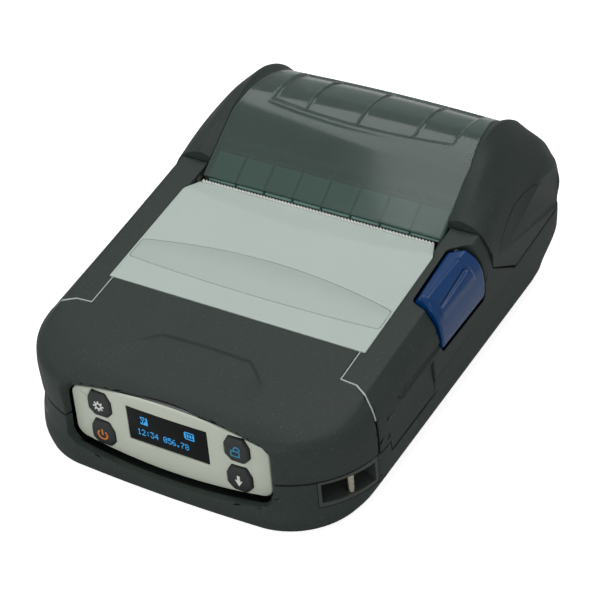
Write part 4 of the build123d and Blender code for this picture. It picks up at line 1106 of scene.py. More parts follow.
@dataclass(frozen=True)
class LowerCase:
    """Lower case with its bay for the battery, strap pockets, hinge lugs and flap opening."""

    battery: tuple = (33.6, -50.6, -9.4)  # half width, front and rear of the opening
    battery_top: float = 16.0  # height of the bay's roof
    boss_x: float = 47.0  # places of the screw bosses
    boss_ys: tuple = (-12.0, 44.0)
    foot_x: float = 38.0  # places of the rubber feet
    foot_ys: tuple = (-62.0, 60.0)
    pocket_angles: tuple = (11.0, 53.0)  # ends of a strap pocket round the front corner
    pocket_floor: float = 8.4
    corner: tuple = (29.6, -47.6)  # centre of the front corner
    pocket_radii: tuple = (18.8, 40.0)  # inner and outer radius of a strap pocket
    liner_radii: tuple = (16.6, 27.0)  # the same of its lining
    boss_radii: tuple = (3.0, 1.45, 2.8)  # of a boss, its hole and its counterbore
    foot_radii: tuple = (5.7, 4.6)  # of the pad over a foot and of the foot's seat
    lug_half: float = 2.5  # half width of a hinge lug
    lug_foot: tuple = (3.2, 20.0)  # half depth and height of a lug's foot

    def walls(self) -> Piece:
        """Outer and inner skin of the case in one closed surface.

        Row s of a skin lies at floor + s (seam height at its own place - floor), worked out in
        three rounds because the place depends on the height.

        Returns:
            The new object.
        """
        share = np.concatenate([np.linspace(0, 0.3, 9), np.linspace(0.34, 1, 14)])[:, None]
        skins = []
        for inset in (0.0, PLAN.wall):
            floor = 0.8 + inset
            level = floor + share * (18 - floor) * np.ones((1, len(CASE.columns()[0])))
            for _ in range(3):
                x, y = CASE.plan(level, inset)
                level = floor + share * (PLAN.parting(y) - PLAN.seam / 2 - floor)
            skins.append(whole(np.stack([x, y, level], axis=-1)))
        return tube("lower_case", np.concatenate([skins[0], skins[1][::-1]]))

    def sector(self, name: str, side: Side, radii: tuple, grow: float, z: tuple) -> Piece:
        """Ring sector about a front corner, from the side towards the front.

        Args:
            name: Name of the piece.
            side: Side of the printer.
            radii: Its inner and outer radius.
            grow: Angle in degrees by which each end is moved outwards.
            z: Its lower and upper height.

        Returns:
            The new object.
        """
        start, end = self.pocket_angles
        angles = np.linspace(math.radians(start - grow), math.radians(end + grow), 9)
        rim, centre = circle(angles) * (1, -1), np.array(self.corner)
        ring = [centre + radii[1] * rim, centre + radii[0] * rim[::-1]]
        return plan_cut(name, np.concatenate(ring) * (side.value, 1), *z)

    def extras(self) -> list:
        """What the bare walls gain: the bay, bosses, pads and the pockets' linings.

        Returns:
            Closed solids.
        """
        half, front, rear = self.battery
        wall, deep = PLAN.wall, self.pocket_floor - 1.0
        radius, pad = self.boss_radii[0], self.foot_radii[0]
        found = [cuboid(
            "bay", (-half - wall, half + wall), (front - wall, rear + wall),
            (1.2, self.battery_top + 0.5),
        )]
        for side in Side:
            boss, foot = side.value * self.boss_x, side.value * self.foot_x
            for y in self.boss_ys:
                found.append(post("boss", boss, y, (1.2, PLAN.parting(y) - 2), radius))
            found += [post("pad", foot, y, (1.0, 3.6), pad) for y in self.foot_ys]
            found.append(self.sector("liner", side, self.liner_radii, 4, (deep, 15.5)))
        return found

    def tools(self) -> list:
        """What is cut out of the walls, from the battery opening to the hinge's room.

        Returns:
            Closed solids.
        """
        half, front, rear = self.battery
        _, hole, counterbore = self.boss_radii
        found = [cuboid("opening", (-half, half), (front, rear), (-1, self.battery_top))]
        for side in Side:
            boss, foot = side.value * self.boss_x, side.value * self.foot_x
            for y in self.boss_ys:
                found.append(post("hole", boss, y, (-1, 14.6), hole))
                found.append(post("counterbore", boss, y, (-1, 3.1), counterbore))
            found += [post("seat", foot, y, (-1, 1.6), self.foot_radii[1]) for y in self.foot_ys]
            levels = (self.pocket_floor, 60)
            found.append(self.sector("pocket", side, self.pocket_radii, 0, levels))
        return found + [
            BEZEL.opening(), cuboid("flap_mouth", (55.0, FAR), PLAN.flap, (14.5, FAR)),
            cuboid("ports", (48.6, FAR), PLAN.ports, (16.0, FAR)),
            cuboid("catch_slot", (-7, 7), (rear - 0.1, rear + 9), (-1, 2.2)),
            PLAN.hinge("barrel_room", -FAR, FAR, 3.7, 48),
        ]

    def lug(self, side: Side) -> Piece:
        """Hinge lug: a round eye on a foot.

        Args:
            side: Side of the printer.

        Returns:
            The new object.
        """
        low = side.value * PLAN.lug_x - self.lug_half
        depth, level = self.lug_foot
        turn = circle(np.linspace(-0.35, math.pi + 0.35, 25)) * (-PLAN.barrel, PLAN.barrel)
        eye = np.array([PLAN.hinge_y, PLAN.hinge_z]) + turn
        foot = [(PLAN.hinge_y + depth, level), (PLAN.hinge_y - depth, level)]
        return side_cut("lug", np.concatenate([eye, foot]), low, low + 2 * self.lug_half)

    def build(self) -> None:
        """Make the lower case and dress it."""
        piece = self.walls()
        join(piece, self.extras())
        carve(piece, self.tools())
        join(piece, [self.lug(side) for side in Side])
        middles = [side.value * PLAN.lug_x for side in Side]
        carve(piece, [PLAN.hinge("pin_room", x - 4, x + 4, 1.22) for x in middles])
        soften(piece, 0.25)
        dress(piece, "body_shell", ["base_case"])


@dataclass(frozen=True)
class UpperCase:
    """Fixed upper body and front cover, cut from one form."""

    notch: tuple = (42.0, -46.6)  # corner of the cover beside the panel
    step: tuple = (47.2, -47.0)  # next corner of the cover's rear edge
    flank: tuple = (57.6, -53.0)  # where that edge meets the flank
    brow: float = 1.7  # drop of the soft front edge of the cover
    chevron: tuple = (  # rear line of the scoop in the cover, right half: places in x and in y
        (0.0, 14.8, 17.2, 25.0), (-49.1, -49.5, -51.4, -58.8),
    )
    scoop_depth: float = 0.6
    deck: float = 3.8  # thickness under the deck behind the cover
    sink: float = 0.4  # how far the rooms are sunk
    lid_gap: float = 0.3  # gap between the body and the lid
    rail: tuple = ((-11.5, 29.3), (-39.0, 28.6))  # ends of the groove in the right flank
    rail_half: float = 0.8  # half of its height

    WALL_ROWS = 24  # rows of the sections that lie below the deck

    def surface(self, inset: float, drop: float) -> Array:
        """Closed sections of the upper form, from the seam up and over the deck.

        Row s lies at seam + s (deck - seam), both at its own place. Over the deck, rings shrink
        towards a spine along the middle. Near the front the edge sinks by the brow's drop: up
        the wall with the power 2.2 of the share of its last 28 hundredths, and over the deck with
        the square of what is left of the outer three tenths of the way to the spine.

        Args:
            inset: Distance inside the outer form.
            drop: Distance by which the deck is lowered.

        Returns:
            Array of (rows, columns, 3).
        """
        share = np.linspace(0, 1, self.WALL_ROWS)[:, None]
        x, y = UPPER.plan(share * np.ones((1, len(UPPER.columns()[0]))), inset)
        low = PLAN.parting(y) + PLAN.seam / 2
        top = PLAN.deck(y) - drop
        front = 1 - smooth_step(y, -66, -44)
        bend = np.clip((share - 0.72) / 0.28, 0, 1) ** 2.2
        z = low + share * (top - low) - front * self.brow * bend
        wall = np.stack([x, y, z], axis=-1)
        edge = wall[-1]
        spine = np.stack([0 * edge[:, 0], np.clip(edge[:, 1], -48, 40)], axis=1)
        t = np.concatenate([np.linspace(0, 0.3, 10)[1:], np.linspace(0.34, 0.97, 14)])[:, None]
        flat = spine + (edge[:, :2] - spine) * (1 - t[..., None])
        rise = np.clip(1 - t / 0.3, 0, 1) ** 2
        z = PLAN.deck(flat[..., 1]) - drop - front[-1] * self.brow * rise
        over = np.concatenate([flat, z[..., None]], axis=-1)
        return whole(np.concatenate([wall, over]))

    def room(self, name: str, inset: float, drop: float, sink: float) -> Piece:
        """Cutter of the room inside the form, sunk so that it opens at the seam.

        Args:
            name: Name of the piece.
            inset: Distance inside the outer form.
            drop: Distance under the deck.
            sink: How far all of it is sunk.

        Returns:
            The new object.
        """
        piece = tube(name, self.surface(inset, drop))
        piece.data.transform(Matrix.Translation((0, 0, -sink * MM)))
        return piece

    def edge_line(self, grow: float) -> Array:
        """Rear edge of the cover's right half, from beyond the flank.

        Args:
            grow: Distance by which it is drawn rearwards.

        Returns:
            Points in (x, y).
        """
        slope = (self.flank[1] - self.step[1]) / (self.flank[0] - self.step[0])
        return np.array([
            (FAR, self.step[1] + slope * (FAR - self.step[0]) + grow),
            (self.step[0] + grow, self.step[1] + grow),
            (self.notch[0] + grow, self.notch[1] + grow),
            (self.notch[0] + grow, PLAN.panel_front - 0.2),
        ])

    def region(self, grow: float) -> Piece:
        """Cutter of the cover's region.

        Args:
            grow: Distance by which its rear edge is drawn rearwards.

        Returns:
            The new object.
        """
        right = self.edge_line(grow)
        front = [(-FAR, -FAR), (FAR, -FAR)]
        return plan_cut("region", np.concatenate([front, right, right[::-1] * (-1, 1)]))

    def scoop(self, sections: Array) -> Array:
        """Sink the deck in front of the chevron by a step, on a finer grid.

        The step's depth is 0.6 mm times a smooth step of the distance in y from the chevron's
        line, and fades towards its ends and towards the brow.

        Args:
            sections: Array of (rows, columns, 3) from surface().

        Returns:
            Array of more rows and columns.
        """
        rows, columns = sections.shape[:2]
        wall = self.WALL_ROWS
        deck = np.concatenate([np.arange(wall), np.linspace(wall, rows - 1, (rows - wall) * 4)])
        around = np.linspace(0, columns, columns * 2, endpoint=False)
        ring = np.concatenate([sections, sections[:, :1]], axis=1)
        low = np.minimum(deck.astype(int), rows - 2)
        part = (deck - low)[:, None, None]
        fine = ring[low] * (1 - part) + ring[low + 1] * part
        left = around.astype(int)
        part = (around - left)[None, :, None]
        fine = fine[:, left] * (1 - part) + fine[:, left + 1] * part
        x, y = np.abs(fine[..., 0]), fine[..., 1]
        line = np.interp(x, *self.chevron)
        sink = 1 - smooth_step(y, line - 0.9, line)
        fade = (1 - smooth_step(x, 17, 25.5)) * smooth_step(y, -71, -56)
        up = fine[..., 2] > PLAN.deck(y) - 3
        fine[..., 2] -= np.where(up, self.scoop_depth * sink * fade, 0)
        return fine

    def cover(self) -> None:
        """Make the front cover, whose brow overhangs the display."""
        piece = tube("front_hood", self.scoop(self.surface(0.0, 0.0)))
        hollow = self.room("hollow", PLAN.wall, PLAN.wall, self.sink)
        carve(piece, [hollow, BEZEL.opening()], self.region(-0.08))
        soften(piece, 0.3)
        dress(piece, "body_shell", ["front_cover"], smooth=40)

    def build(self) -> None:
        """Make the cover and the upper body."""
        self.cover()
        piece = tube("upper_shell", self.surface(0.0, 0.0))
        hollow = self.room("hollow", PLAN.wall, self.deck, self.sink)
        gap = self.lid_gap
        front, foot = PLAN.arm_front - gap, PLAN.arm_foot - gap
        lid_side = [
            (front, FAR), (front, PLAN.arm_knee - gap),
            (foot, PLAN.parting(PLAN.arm_foot) - gap), (foot, -FAR), (-FAR, -FAR), (-FAR, FAR),
        ]
        seat = plan_cut("seat", CONTROL.plan(0.2))
        carve(seat, [], side_cut("depth", CONTROL.seat_side()))
        carve(piece, [
            hollow, self.region(0.38), seat,
            cuboid("middle", (-42.7, 42.7), (3.1, FAR), (-FAR, FAR)),
            cuboid("gear_room", (-48.5, -42.6), (14.6, FAR), (-FAR, 41.6)),
            cuboid("gear_room", (42.6, 48.5), (14.6, FAR), (-FAR, 41.6)),
            cuboid("lever_room", (-51.2, -48.4), (10.5, FAR), (-FAR, 38.1)),
            BUTTON.solid("button_room", 0.75, -14, 12),
            cuboid("flap_mouth", (55.0, FAR), PLAN.flap, (-FAR, 26.9)),
            cuboid("ports", (48.6, FAR), PLAN.ports, (-FAR, 25.8)),
            self.groove(),
        ], side_cut("side", lid_side))
        soften(piece, 0.3)
        dress(piece, "body_shell", ["upper_body"], smooth=40)

    def groove(self) -> Piece:
        """Shallow rail groove along the right flank above the port flap.

        Returns:
            The new object.
        """
        half, ((ay, az), (by, bz)) = self.rail_half, self.rail
        corners = [(ay, az - half), (ay, az + half), (by, bz + half), (by, bz - half)]
        return side_cut("rail", rounded(corners, 0.7), 56.2, 60.0)


@dataclass(frozen=True)
class ControlPanel:
    """Pale panel in front of the tear bar, with the blank plate let into it."""

    half: float = 43.6  # half width of the panel
    corner: float = 7.6  # where its rear corners start to be cut back
    rear: float = 13.6  # rear edge
    rear_half: float = 41.0  # half width of the rear edge
    bend: float = 4.3  # where it starts to fall towards the tear bar, in the middle
    fall: float = 1.3  # how far it falls
    thickness: float = 2.0
    plate_half: float = 42.8  # half width of the plate
    plate_front: float = -26.2  # foremost place of the plate
    plate_depth: tuple = (14.5, 7.8)  # depth of the plate in the middle, and at its ends

    def plan(self, grow: float) -> Array:
        """Plan of the panel.

        Args:
            grow: Distance by which it is drawn outwards.

        Returns:
            Outline points.
        """
        h, r = self.half + grow, self.rear_half + grow
        front, corner = PLAN.panel_front - grow, self.corner + grow
        return np.array([
            (-h, front), (h, front), (h, corner), (r, self.rear), (-r, self.rear), (-h, corner),
        ])

    def seat_side(self) -> list:
        """Side view, in (y, z), of the room that the panel drops into.

        Returns:
            Points in (y, z).
        """
        low = self.thickness + 0.1
        bend, tear = 3.2, PLAN.tear
        last = PLAN.deck(tear) - self.fall - low
        floor = [(y, PLAN.deck(y) - low) for y in (-FAR, bend)]
        return [*floor, (tear, last), (FAR, last), (FAR, FAR), (-FAR, FAR)]

    def top(self, x: Array, y: Array) -> Array:
        """Height of the panel: the deck, less a fall that starts at a line bowed like a crescent.

        The line is bend + 4.2 (x / 42.4) squared, capped before the rear edge, and the fall
        grows straight from there to the rear, eased in over the first tenth.

        Args:
            x: Places across the printer.
            y: Places along it.

        Returns:
            Array of heights.
        """
        start = np.minimum(self.bend + 4.2 * (x / 42.4) ** 2, 8.4)
        t = np.clip((y - start) / (PLAN.tear - start), 0, 1)
        return PLAN.deck(y) - self.fall * (t - 0.06 * (1 - np.exp(-t / 0.06)))

    def plate_outline(self, grow: float) -> Array:
        """Outline of the plate in (x, y): two arcs between two blunt ends.

        Args:
            grow: Distance by which it is drawn outwards.

        Returns:
            Outline points.
        """
        half = self.plate_half + grow
        x = np.linspace(-half, half, 41)
        depth, end = self.plate_depth
        front_end = self.plate_front + (depth - end) * 0.2 - grow
        back_end = front_end + end + 2 * grow
        bow = (x / half) ** 2
        front = self.plate_front - grow + (front_end - self.plate_front + grow) * bow
        back = self.plate_front + depth + grow
        return arched(x, front, back - (back - back_end) * bow, 1.0, 4, 0)

    def plate(self, name: str, grow: float, low: float, high: float) -> Piece:
        """Solid of the plate's outline along the sloping deck.

        Args:
            name: Name of the piece.
            grow: Distance by which it is drawn outwards.
            low: How far its underside is below the deck.
            high: How far its face is above it.

        Returns:
            The new object.
        """
        flat = self.plate_outline(grow)
        z = PLAN.deck(flat[:, 1])
        levels = (z - low, z + high)
        return tube(name, np.stack([np.column_stack([flat, level]) for level in levels]))

    def build(self) -> None:
        """Make the panel and its plate."""
        front, rear = np.linspace(PLAN.panel_front, 2.4, 33), np.linspace(2.7, self.rear, 44)
        y = np.concatenate([front, rear])[:, None]
        half = np.interp(y, [self.corner, self.rear], [self.half, self.rear_half])
        x = half * np.linspace(-1, 1, 61)[None]
        y = y + 0 * x
        z = self.top(x, y)
        panel = slab("control_panel", *(
            np.stack([x, y, level], axis=-1) for level in (z, z - self.thickness)
        ))
        carve(panel, [self.plate("seat", 0.14, 0.5, 6.0)])
        soften(panel, 0.08)
        dress(panel, "light_panel", ["top_panel"])
        plate = self.plate("blank_plate", 0.0, 0.48, -0.02)
        soften(plate, 0.1)
        dress(plate, "light_plate", ["name_plate"])


CONTROL = ControlPanel()


@dataclass(frozen=True)
class ReleaseButton:
    """Blue release button on the right shoulder, pressed straight into its own facet.

    Places on the facet are (u, v), along the printer and up the facet.
    """

    origin: tuple = (50.6, 1.0, 36.0)  # a point of the facet
    tilt: float = 36.9  # lean of its travel from upright, in degrees
    corners: tuple = (
        (11, 6.9), (14.6, 3.8), (14.6, -5), (13.4, -10.2), (-14.2, -10.2), (-13.6, 0.6), (-11.6, 5),
    )
    radius: float = 1.4  # radius of the corners
    depth: float = 7.0  # depth of its side walls
    lip: float = 0.9  # radius of its upper edge
    shoulder: tuple = (  # places up the facet, and the face's height at each
        (-10.4, -8.5, -6.0, -3.0, 0.0, 3.0, 5.5, 7.2), (-2.9, -0.5, 2.0, 4.1, 5.1, 4.9, 3.7, 2.3),
    )
    pad: tuple = ((-12.2, 9.8), (-5.0, 4.2))  # ends and sides of the raised pad
    groove: tuple = ((7.2, 0.1), (-9.8, -1.2))  # ends of the finger groove
    groove_half: float = 1.15  # half of the groove's width
    middle: tuple = (0.0, -1.8)  # where the face's rings shrink to

    def place(self, flat: Array, w: Array) -> Array:
        """Points of the facet plane carried out of it.

        Args:
            flat: Array of points (u, v).
            w: Array of distances.

        Returns:
            Array of points (x, y, z).
        """
        s, c = math.sin(math.radians(self.tilt)), math.cos(math.radians(self.tilt))
        (x, y, z), u, v = self.origin, flat[..., 0], flat[..., 1]
        return np.stack([x - v * c + w * s, y + u, z + v * s + w * c], axis=-1)

    def outline(self, grow: float) -> Array:
        """Outline with round corners, moved outwards by grow."""
        points = rounded(self.corners, self.radius, 6)
        return points + grow * outward(points)

    def solid(self, name: str, grow: float, low: float, high: float) -> Piece:
        """Outline carried along the travel between two distances."""
        flat = self.outline(grow)
        return tube(name, np.stack([self.place(flat, low), self.place(flat, high)]))

    def height(self, flat: Array) -> Array:
        """Height of the face over the facet plane.

        A rounded shoulder across the facet, with a raised pad inside soft steps, and a finger
        groove that is a cosine trough along a slanting line.

        Args:
            flat: Array of points (u, v).

        Returns:
            Array of heights.
        """
        u, v = flat[..., 0], flat[..., 1]
        (u0, u1), (v0, v1) = self.pad
        pad = smooth_step(u, u0, u0 + 1.0) * (1 - smooth_step(u, u1 - 1.0, u1))
        pad = pad * smooth_step(v, v0, v0 + 2.2) * (1 - smooth_step(v, v1 - 0.8, v1))
        a, b = (np.array(end) for end in self.groove)
        share = np.clip(((flat - a) @ (b - a)) / ((b - a) @ (b - a)), 0, 1)
        off = np.linalg.norm(flat - a - share[..., None] * (b - a), axis=-1)
        trough = 0.5 + 0.5 * np.cos(math.pi * np.clip(off / self.groove_half, 0, 1))
        return ease(v, *self.shoulder) + 0.55 * pad - 0.9 * trough

    def build(self) -> None:
        """Make the button: rings of its outline that rise up the skirt and shrink over the face.

        The edge falls by r - sqrt(r squared - (r - d) squared) at the distance d from the
        outline.
        """
        edge = self.outline(0.0)
        edge = along(np.concatenate([edge, edge[:1]]), 241)[:-1]
        centre = np.array(self.middle)
        near = self.lip * (1 - np.cos(np.linspace(0, math.pi / 2, 8)))
        reach = np.linalg.norm(edge - centre, axis=1)[:, None]
        rings = [edge + (centre - edge) / reach * d for d in near]
        last, shares = rings[-1], np.linspace(1, 0.01, 52)[1:]
        flat = np.stack(rings + [centre + (last - centre) * k for k in shares])
        d = np.concatenate([near, np.full(len(shares), self.lip)])[:, None]
        fall = self.lip - np.sqrt(np.clip(self.lip**2 - (self.lip - d) ** 2, 0, None))
        w = self.height(flat) - fall
        levels = np.stack([np.full(len(edge), -self.depth), w[0] - 0.6])
        skirt = self.place(np.stack([edge, edge]), levels)
        piece = tube("release_button", np.concatenate([skirt, self.place(flat, w)]))
        dress(piece, "button_plastic", ["latch_button"], Carrier.RELEASE, 50)


BUTTON = ReleaseButton()


@dataclass(frozen=True)
class Lid:
    """Hinged lid: two humped arms, a rear wall and a smoked window over the paper roll."""

    shares: tuple = (0.0, 0.23, 0.49, 0.765, 1.0)  # places from an arm's inner to its outer side
    inner: float = 41.9  # inner side of the arms
    outer: float = 56.4  # outer side of the arms
    tops: tuple = (  # crown of the arm at each place, as (y, z) from the arch's axis
        ((-20.0, 20.4), (-10.0, 26.6), (0.0, 29.4), (10.0, 27.6), (20.0, 21.6), (26.0, 13.6)),
        ((-20.0, 20.9), (-10.0, 25.6), (0.0, 26.6), (10.0, 24.4), (20.0, 19.4), (26.0, 12.8)),
        ((-20.0, 19.1), (-10.0, 22.0), (0.0, 22.8), (10.0, 21.0), (19.5, 17.4), (25.4, 12.0)),
        ((-21.0, 15.2), (-12.0, 16.7), (-1.0, 17.2), (9.0, 16.2), (17.5, 13.8), (23.0, 9.6)),
        ((-22.5, 3.8), (-15.0, 4.9), (-7.0, 7.8), (1.0, 10.6), (9.0, 12.2), (16.0, 10.2)),
    )
    fronts: tuple = (45.6, 46.7, 45.9, 43.4, 37.5)  # height of its front end at each place
    rears: tuple = (0.0, 0.0, 0.2, 1.2, 5.8)  # how far its rear lies before the printer's rear
    fold: tuple = (  # crease along the flank, in (y, z)
        (23.5, 33.6), (30.0, 38.0), (35.0, 40.9), (39.9, 42.8), (45.2, 43.3), (52.7, 42.8),
        (57.2, 41.3),
    )
    pockets: tuple = (  # rooms in an arm: ends in x, height in front, crown, and rear end
        ((44.2, 48.5), 41.6,
         ((-20, 14.1), (-10, 19.0), (0, 20.0), (10, 18.3), (18, 14.0), (23.6, 5.5)), 73.6),
        ((48.4, 52.4), 35.0,
         ((-20, 9.5), (-10, 13.2), (0, 14.2), (10, 13.2), (17, 10.0), (20, 3.5)), 70.0),
    )
    pocket_front: float = 16.6
    window: float = 41.75  # half width of the window at its front
    narrow: float = 4.3  # how much less it is at the rear
    narrowing: tuple = (36.0, 62.0)  # where it starts and ends to narrow
    window_start: float = 122.9  # angle on the arch where the window's straight slope starts
    window_end: float = 26.0  # angle where the window ends at the rear
    window_front: tuple = (16.6, 42.19)  # front edge of the window
    wall_half: float = 44.2  # half width of the rear wall
    bulge: float = 0.9  # how far the window's middle stands over its edges
    field_depth: float = 0.9  # how deep the field of bays is sunk
    ribs: tuple = (-18.2, 0.8, 19.9)  # places of the ribs between the bays
    rib_half: float = 0.42  # half of their width
    glass_thickness: float = 2.0
    guide_pitch: float = 10.2  # distance between the ribs of the paper guide

    def reach(self, y: Array) -> Array:
        """Half width of the window, which narrows towards the rear."""
        return self.window - self.narrow * np.interp(y, self.narrowing, (0, 1))

    def crown(self, share: Array, inset: float) -> Array:
        """Crown lines in (y, z), one for each place across the arm.

        Every control point eases from place to place across the arm.

        Args:
            share: Places across the arm, from its inner side.
            inset: Distance inside its outer face.

        Returns:
            Array of (places, points, 2).
        """
        knots = np.array(self.tops) + (PLAN.arch_y, PLAN.arch_z - inset)
        count = len(self.shares)
        front = np.stack([np.full(count, PLAN.arm_front), np.array(self.fronts) - inset], 1)
        back = PLAN.rear - inset - np.array(self.rears)
        rear = np.stack([back, np.full(count, PLAN.hinge_z + 1.5)], 1)
        control = np.concatenate([front[:, None], knots, rear[:, None]], axis=1)
        flat = np.stack([
            np.stack([ease(share, self.shares, control[:, k, d]) for d in (0, 1)], axis=1)
            for k in range(control.shape[1])
        ], axis=1)
        return through(flat, 72)

    def rail(self, inset: float) -> tuple:
        """Rows that carry the arm inwards over the room beside the narrowing window.

        The first two rows are its underside, from the arm to the window's edge. From there back
        to the arm the radius about the arch goes from the window's to that of the arm's inner
        crown, by a smooth step.

        Args:
            inset: Distance inside the arm's outer face.

        Returns:
            Crown rows in (y, z), and the place in x of each of their points.
        """
        first = self.crown(np.zeros(1), inset)[0]
        spoke = first - (PLAN.arch_y, PLAN.arch_z)
        far = np.hypot(spoke[:, 0], spoke[:, 1])
        share = np.concatenate([[1.0, 0.0], np.linspace(0, 1, 9)[:-1]])[:, None]
        low = PLAN.arch_radius - inset
        radius = low + (far - low) * smooth_step(share, 0.0, 0.9)
        radius[:2] = low - 2.0
        radius = np.where(first[:, 0] > self.narrowing[0], np.minimum(radius, far), far)
        rows = (PLAN.arch_y, PLAN.arch_z) + spoke[None] * (radius / far)[..., None]
        edge = self.reach(first[:, 0]) + 0.15
        return rows, edge + share * (self.inner - edge)

    def arm(self, inset: float = 0.0) -> Piece:
        """Right arm: side-view sections carried across from the inner to the outer side.

        Each section runs over the crown, down the rear, forward along the seam and up the
        sloping front.

        Args:
            inset: Distance inside the arm's outer face.

        Returns:
            The new object.
        """
        share = np.concatenate([
            np.linspace(0, 0.06, 4), np.linspace(0.09, 0.94, 30), np.linspace(0.955, 1, 5),
        ])
        rail, near = self.rail(inset)
        crown = np.concatenate([rail, self.crown(share, inset)])
        rows, end, foot = len(crown), crown[:, -1], PLAN.seam / 2

        def run(a: Array, b: Array, count: int) -> Array:
            """Straight run between two points of every section, without its last point."""
            t = np.linspace(0, 1, count, endpoint=False)[None, :, None]
            return a[:, None] * (1 - t) + b[:, None] * t

        heel = np.stack([end[:, 0], np.full(rows, PLAN.parting(PLAN.rear) + foot)], 1)
        toe = np.tile([PLAN.arm_foot, PLAN.parting(PLAN.arm_foot) + foot], (rows, 1))
        knee = np.tile([PLAN.arm_front, PLAN.arm_knee], (rows, 1))
        loop = np.concatenate([
            crown[:, :-1], run(end, heel, 4), run(heel, toe, 26), run(toe, knee, 12),
            run(knee, crown[:, 0], 6),
        ], axis=1)
        y, z = loop[..., 0], loop[..., 1]
        case = np.minimum(CASE.edge_x(np.minimum(y, 76.5), 20.0) - 0.25, self.outer)
        rise = smooth_step(z - PLAN.parting(y), -1.0, 15.0)
        flank = case + rise * (self.outer - case) * (1 - 0.2 * smooth_step(y, 60, 78))
        across = np.append(np.zeros(len(rail)), share)[:, None]
        x = self.inner + across * (flank - inset - self.inner)
        x[: len(rail), : near.shape[1]] = near
        return tube("arm", np.concatenate([x[..., None], loop], axis=2))

    def crease(self) -> Piece:
        """Cutter for the thin crease on the flank: a bent sheet, left only near the outer face.

        Returns:
            The new object.
        """
        count = 40
        line = through(np.array([self.fold]), count)[0]
        half = 0.16 * np.clip(np.sin(np.linspace(0.12, 3.0, count)), 0.15, 1)[:, None]
        side = beside(line) * half
        cutter = side_cut("crease", np.concatenate([line + side, (line - side)[::-1]]), 50.0, 60.0)
        carve(cutter, [self.arm(0.3)])
        return cutter

    def pocket(self, x: tuple, front: float, crown: tuple, rear: float) -> Piece:
        """Cutter of one room in an arm, as the pockets field gives it.

        Args:
            x: Its ends.
            front: Its height in front.
            crown: Its top, from the arch's axis.
            rear: Its rear end.

        Returns:
            The new object.
        """
        over = [(PLAN.arch_y + dy, PLAN.arch_z + dz) for dy, dz in crown]
        ahead = self.pocket_front
        return side_cut("pocket", [(ahead, -FAR), (ahead, front), *over, (rear, -FAR)], *x)

    def relief(self) -> Piece:
        """Cutter of the room behind and below the hinge, all but the barrel itself.

        Returns:
            The new object.
        """
        room = cuboid("relief", (-FAR, FAR), (PLAN.hinge_y, FAR), (-FAR, PLAN.hinge_z))
        carve(room, [PLAN.hinge("keep", -FAR, FAR, PLAN.barrel, 48)])
        return room

    def wall(self) -> Piece:
        """Rear wall with the hinge barrel and the room for the lugs.

        Returns:
            The new object.
        """
        half, radius = self.wall_half, PLAN.arch_radius
        arcs = [PLAN.arch(size, 25.2, 0, 12) for size in (radius, radius - 2)]
        feet = [(PLAN.rear, PLAN.hinge_z), (PLAN.rear - 2, PLAN.hinge_z)]
        barrel = PLAN.hinge("barrel", -half, half, PLAN.barrel, 48)
        rear = side_cut("wall", np.concatenate([arcs[0], feet, arcs[1][::-1]]), -half, half)
        join(rear, [barrel])
        tools = [self.relief()]
        for side in Side:
            low = side.value * PLAN.lug_x - 2.8
            tools.append(cuboid("lug_room", (low, low + 5.6), (69.2, FAR), (-FAR, 31.64)))
            tools.append(PLAN.hinge("pin_room", low - 6, low + 11.6, 1.26))
        carve(rear, tools)
        return rear

    def frame(self) -> None:
        """Make the opaque frame of the lid with its hinge barrel."""
        piece = self.arm()
        carve(piece, [self.crease()])
        carve(piece, [
            *(self.pocket(*pocket) for pocket in self.pockets),
            cuboid("bush_room", (0, 45.2), (0, 26.0), (-FAR, 41.4)),
            rod("shaft_room", (0, 21.2, 35.6), (51.9, 21.2, 35.6), 3.0),
            cuboid("foot_room", (0, 57.6), (71.6, FAR), (-FAR, 24.5)), self.relief(),
        ])
        other = twin(piece)
        other.data.transform(Matrix.Diagonal((-1, 1, 1, 1)))
        other.data.flip_normals()
        join(piece, [other, self.wall()])
        soften(piece, 0.3, 50, True)
        piece.name = piece.data.name = "lid_shell"
        dress(piece, "body_shell", ["lid_frame"], Carrier.LID, 40)

    def glass(self) -> None:
        """Make the window: a crowned sheet with a sunk field of four bays near its top.

        The crown is 0.9 (1 - (x / half) squared). The field sinks by 0.9 mm inside a lens-shaped
        outline whose lower edge bows towards the front, and three ribs across it stay high.
        """
        arc = PLAN.arch(PLAN.arch_radius, self.window_start, self.window_end, 400)
        line = along(np.concatenate([[self.window_front], arc]), 150)
        normal = beside(line)
        x = self.reach(line[:, 0:1]) * np.linspace(-1, 1, 181)[None]
        y = line[:, 0:1] + 0 * x
        crown = self.bulge * (1 - (x / self.window) ** 2)
        low_edge = 40.7 + 2.2 * ((x - 3) / 31) ** 2
        depth = smooth_step(y, low_edge - 0.5, low_edge + 0.9) * (1 - smooth_step(y, 66.0, 67.5))
        depth = depth * smooth_step(x, -31.2, -29.9) * (1 - smooth_step(x, 32.4, 33.7))
        ribs = sum(np.exp(-(((x - at) / self.rib_half) ** 4)) for at in self.ribs)
        rise = crown - self.field_depth * depth * (1 - 0.75 * np.clip(ribs, 0, 1))
        rim = 0.25 * np.exp(-(((y - low_edge + 1.1) / 0.7) ** 2)) * smooth_step(x, -33, -28)
        rise = rise + rim * (1 - smooth_step(x, 31, 36))
        piece = slab("smoked_window", *(
            np.stack([x, y + out * normal[:, 0:1], line[:, 1:2] + out * normal[:, 1:2]], axis=-1)
            for out in (rise, crown - self.glass_thickness)
        ))
        soften(piece, 0.25, 60)
        dress(piece, "window_plastic", ["lid_window"], Carrier.LID)

    def comb(self) -> None:
        """Make the paper guide under the front slope of the window: nine ribs, a bar and pads."""
        front, height = self.window_front
        slope = (54.0 - height) / (34.8 - front)

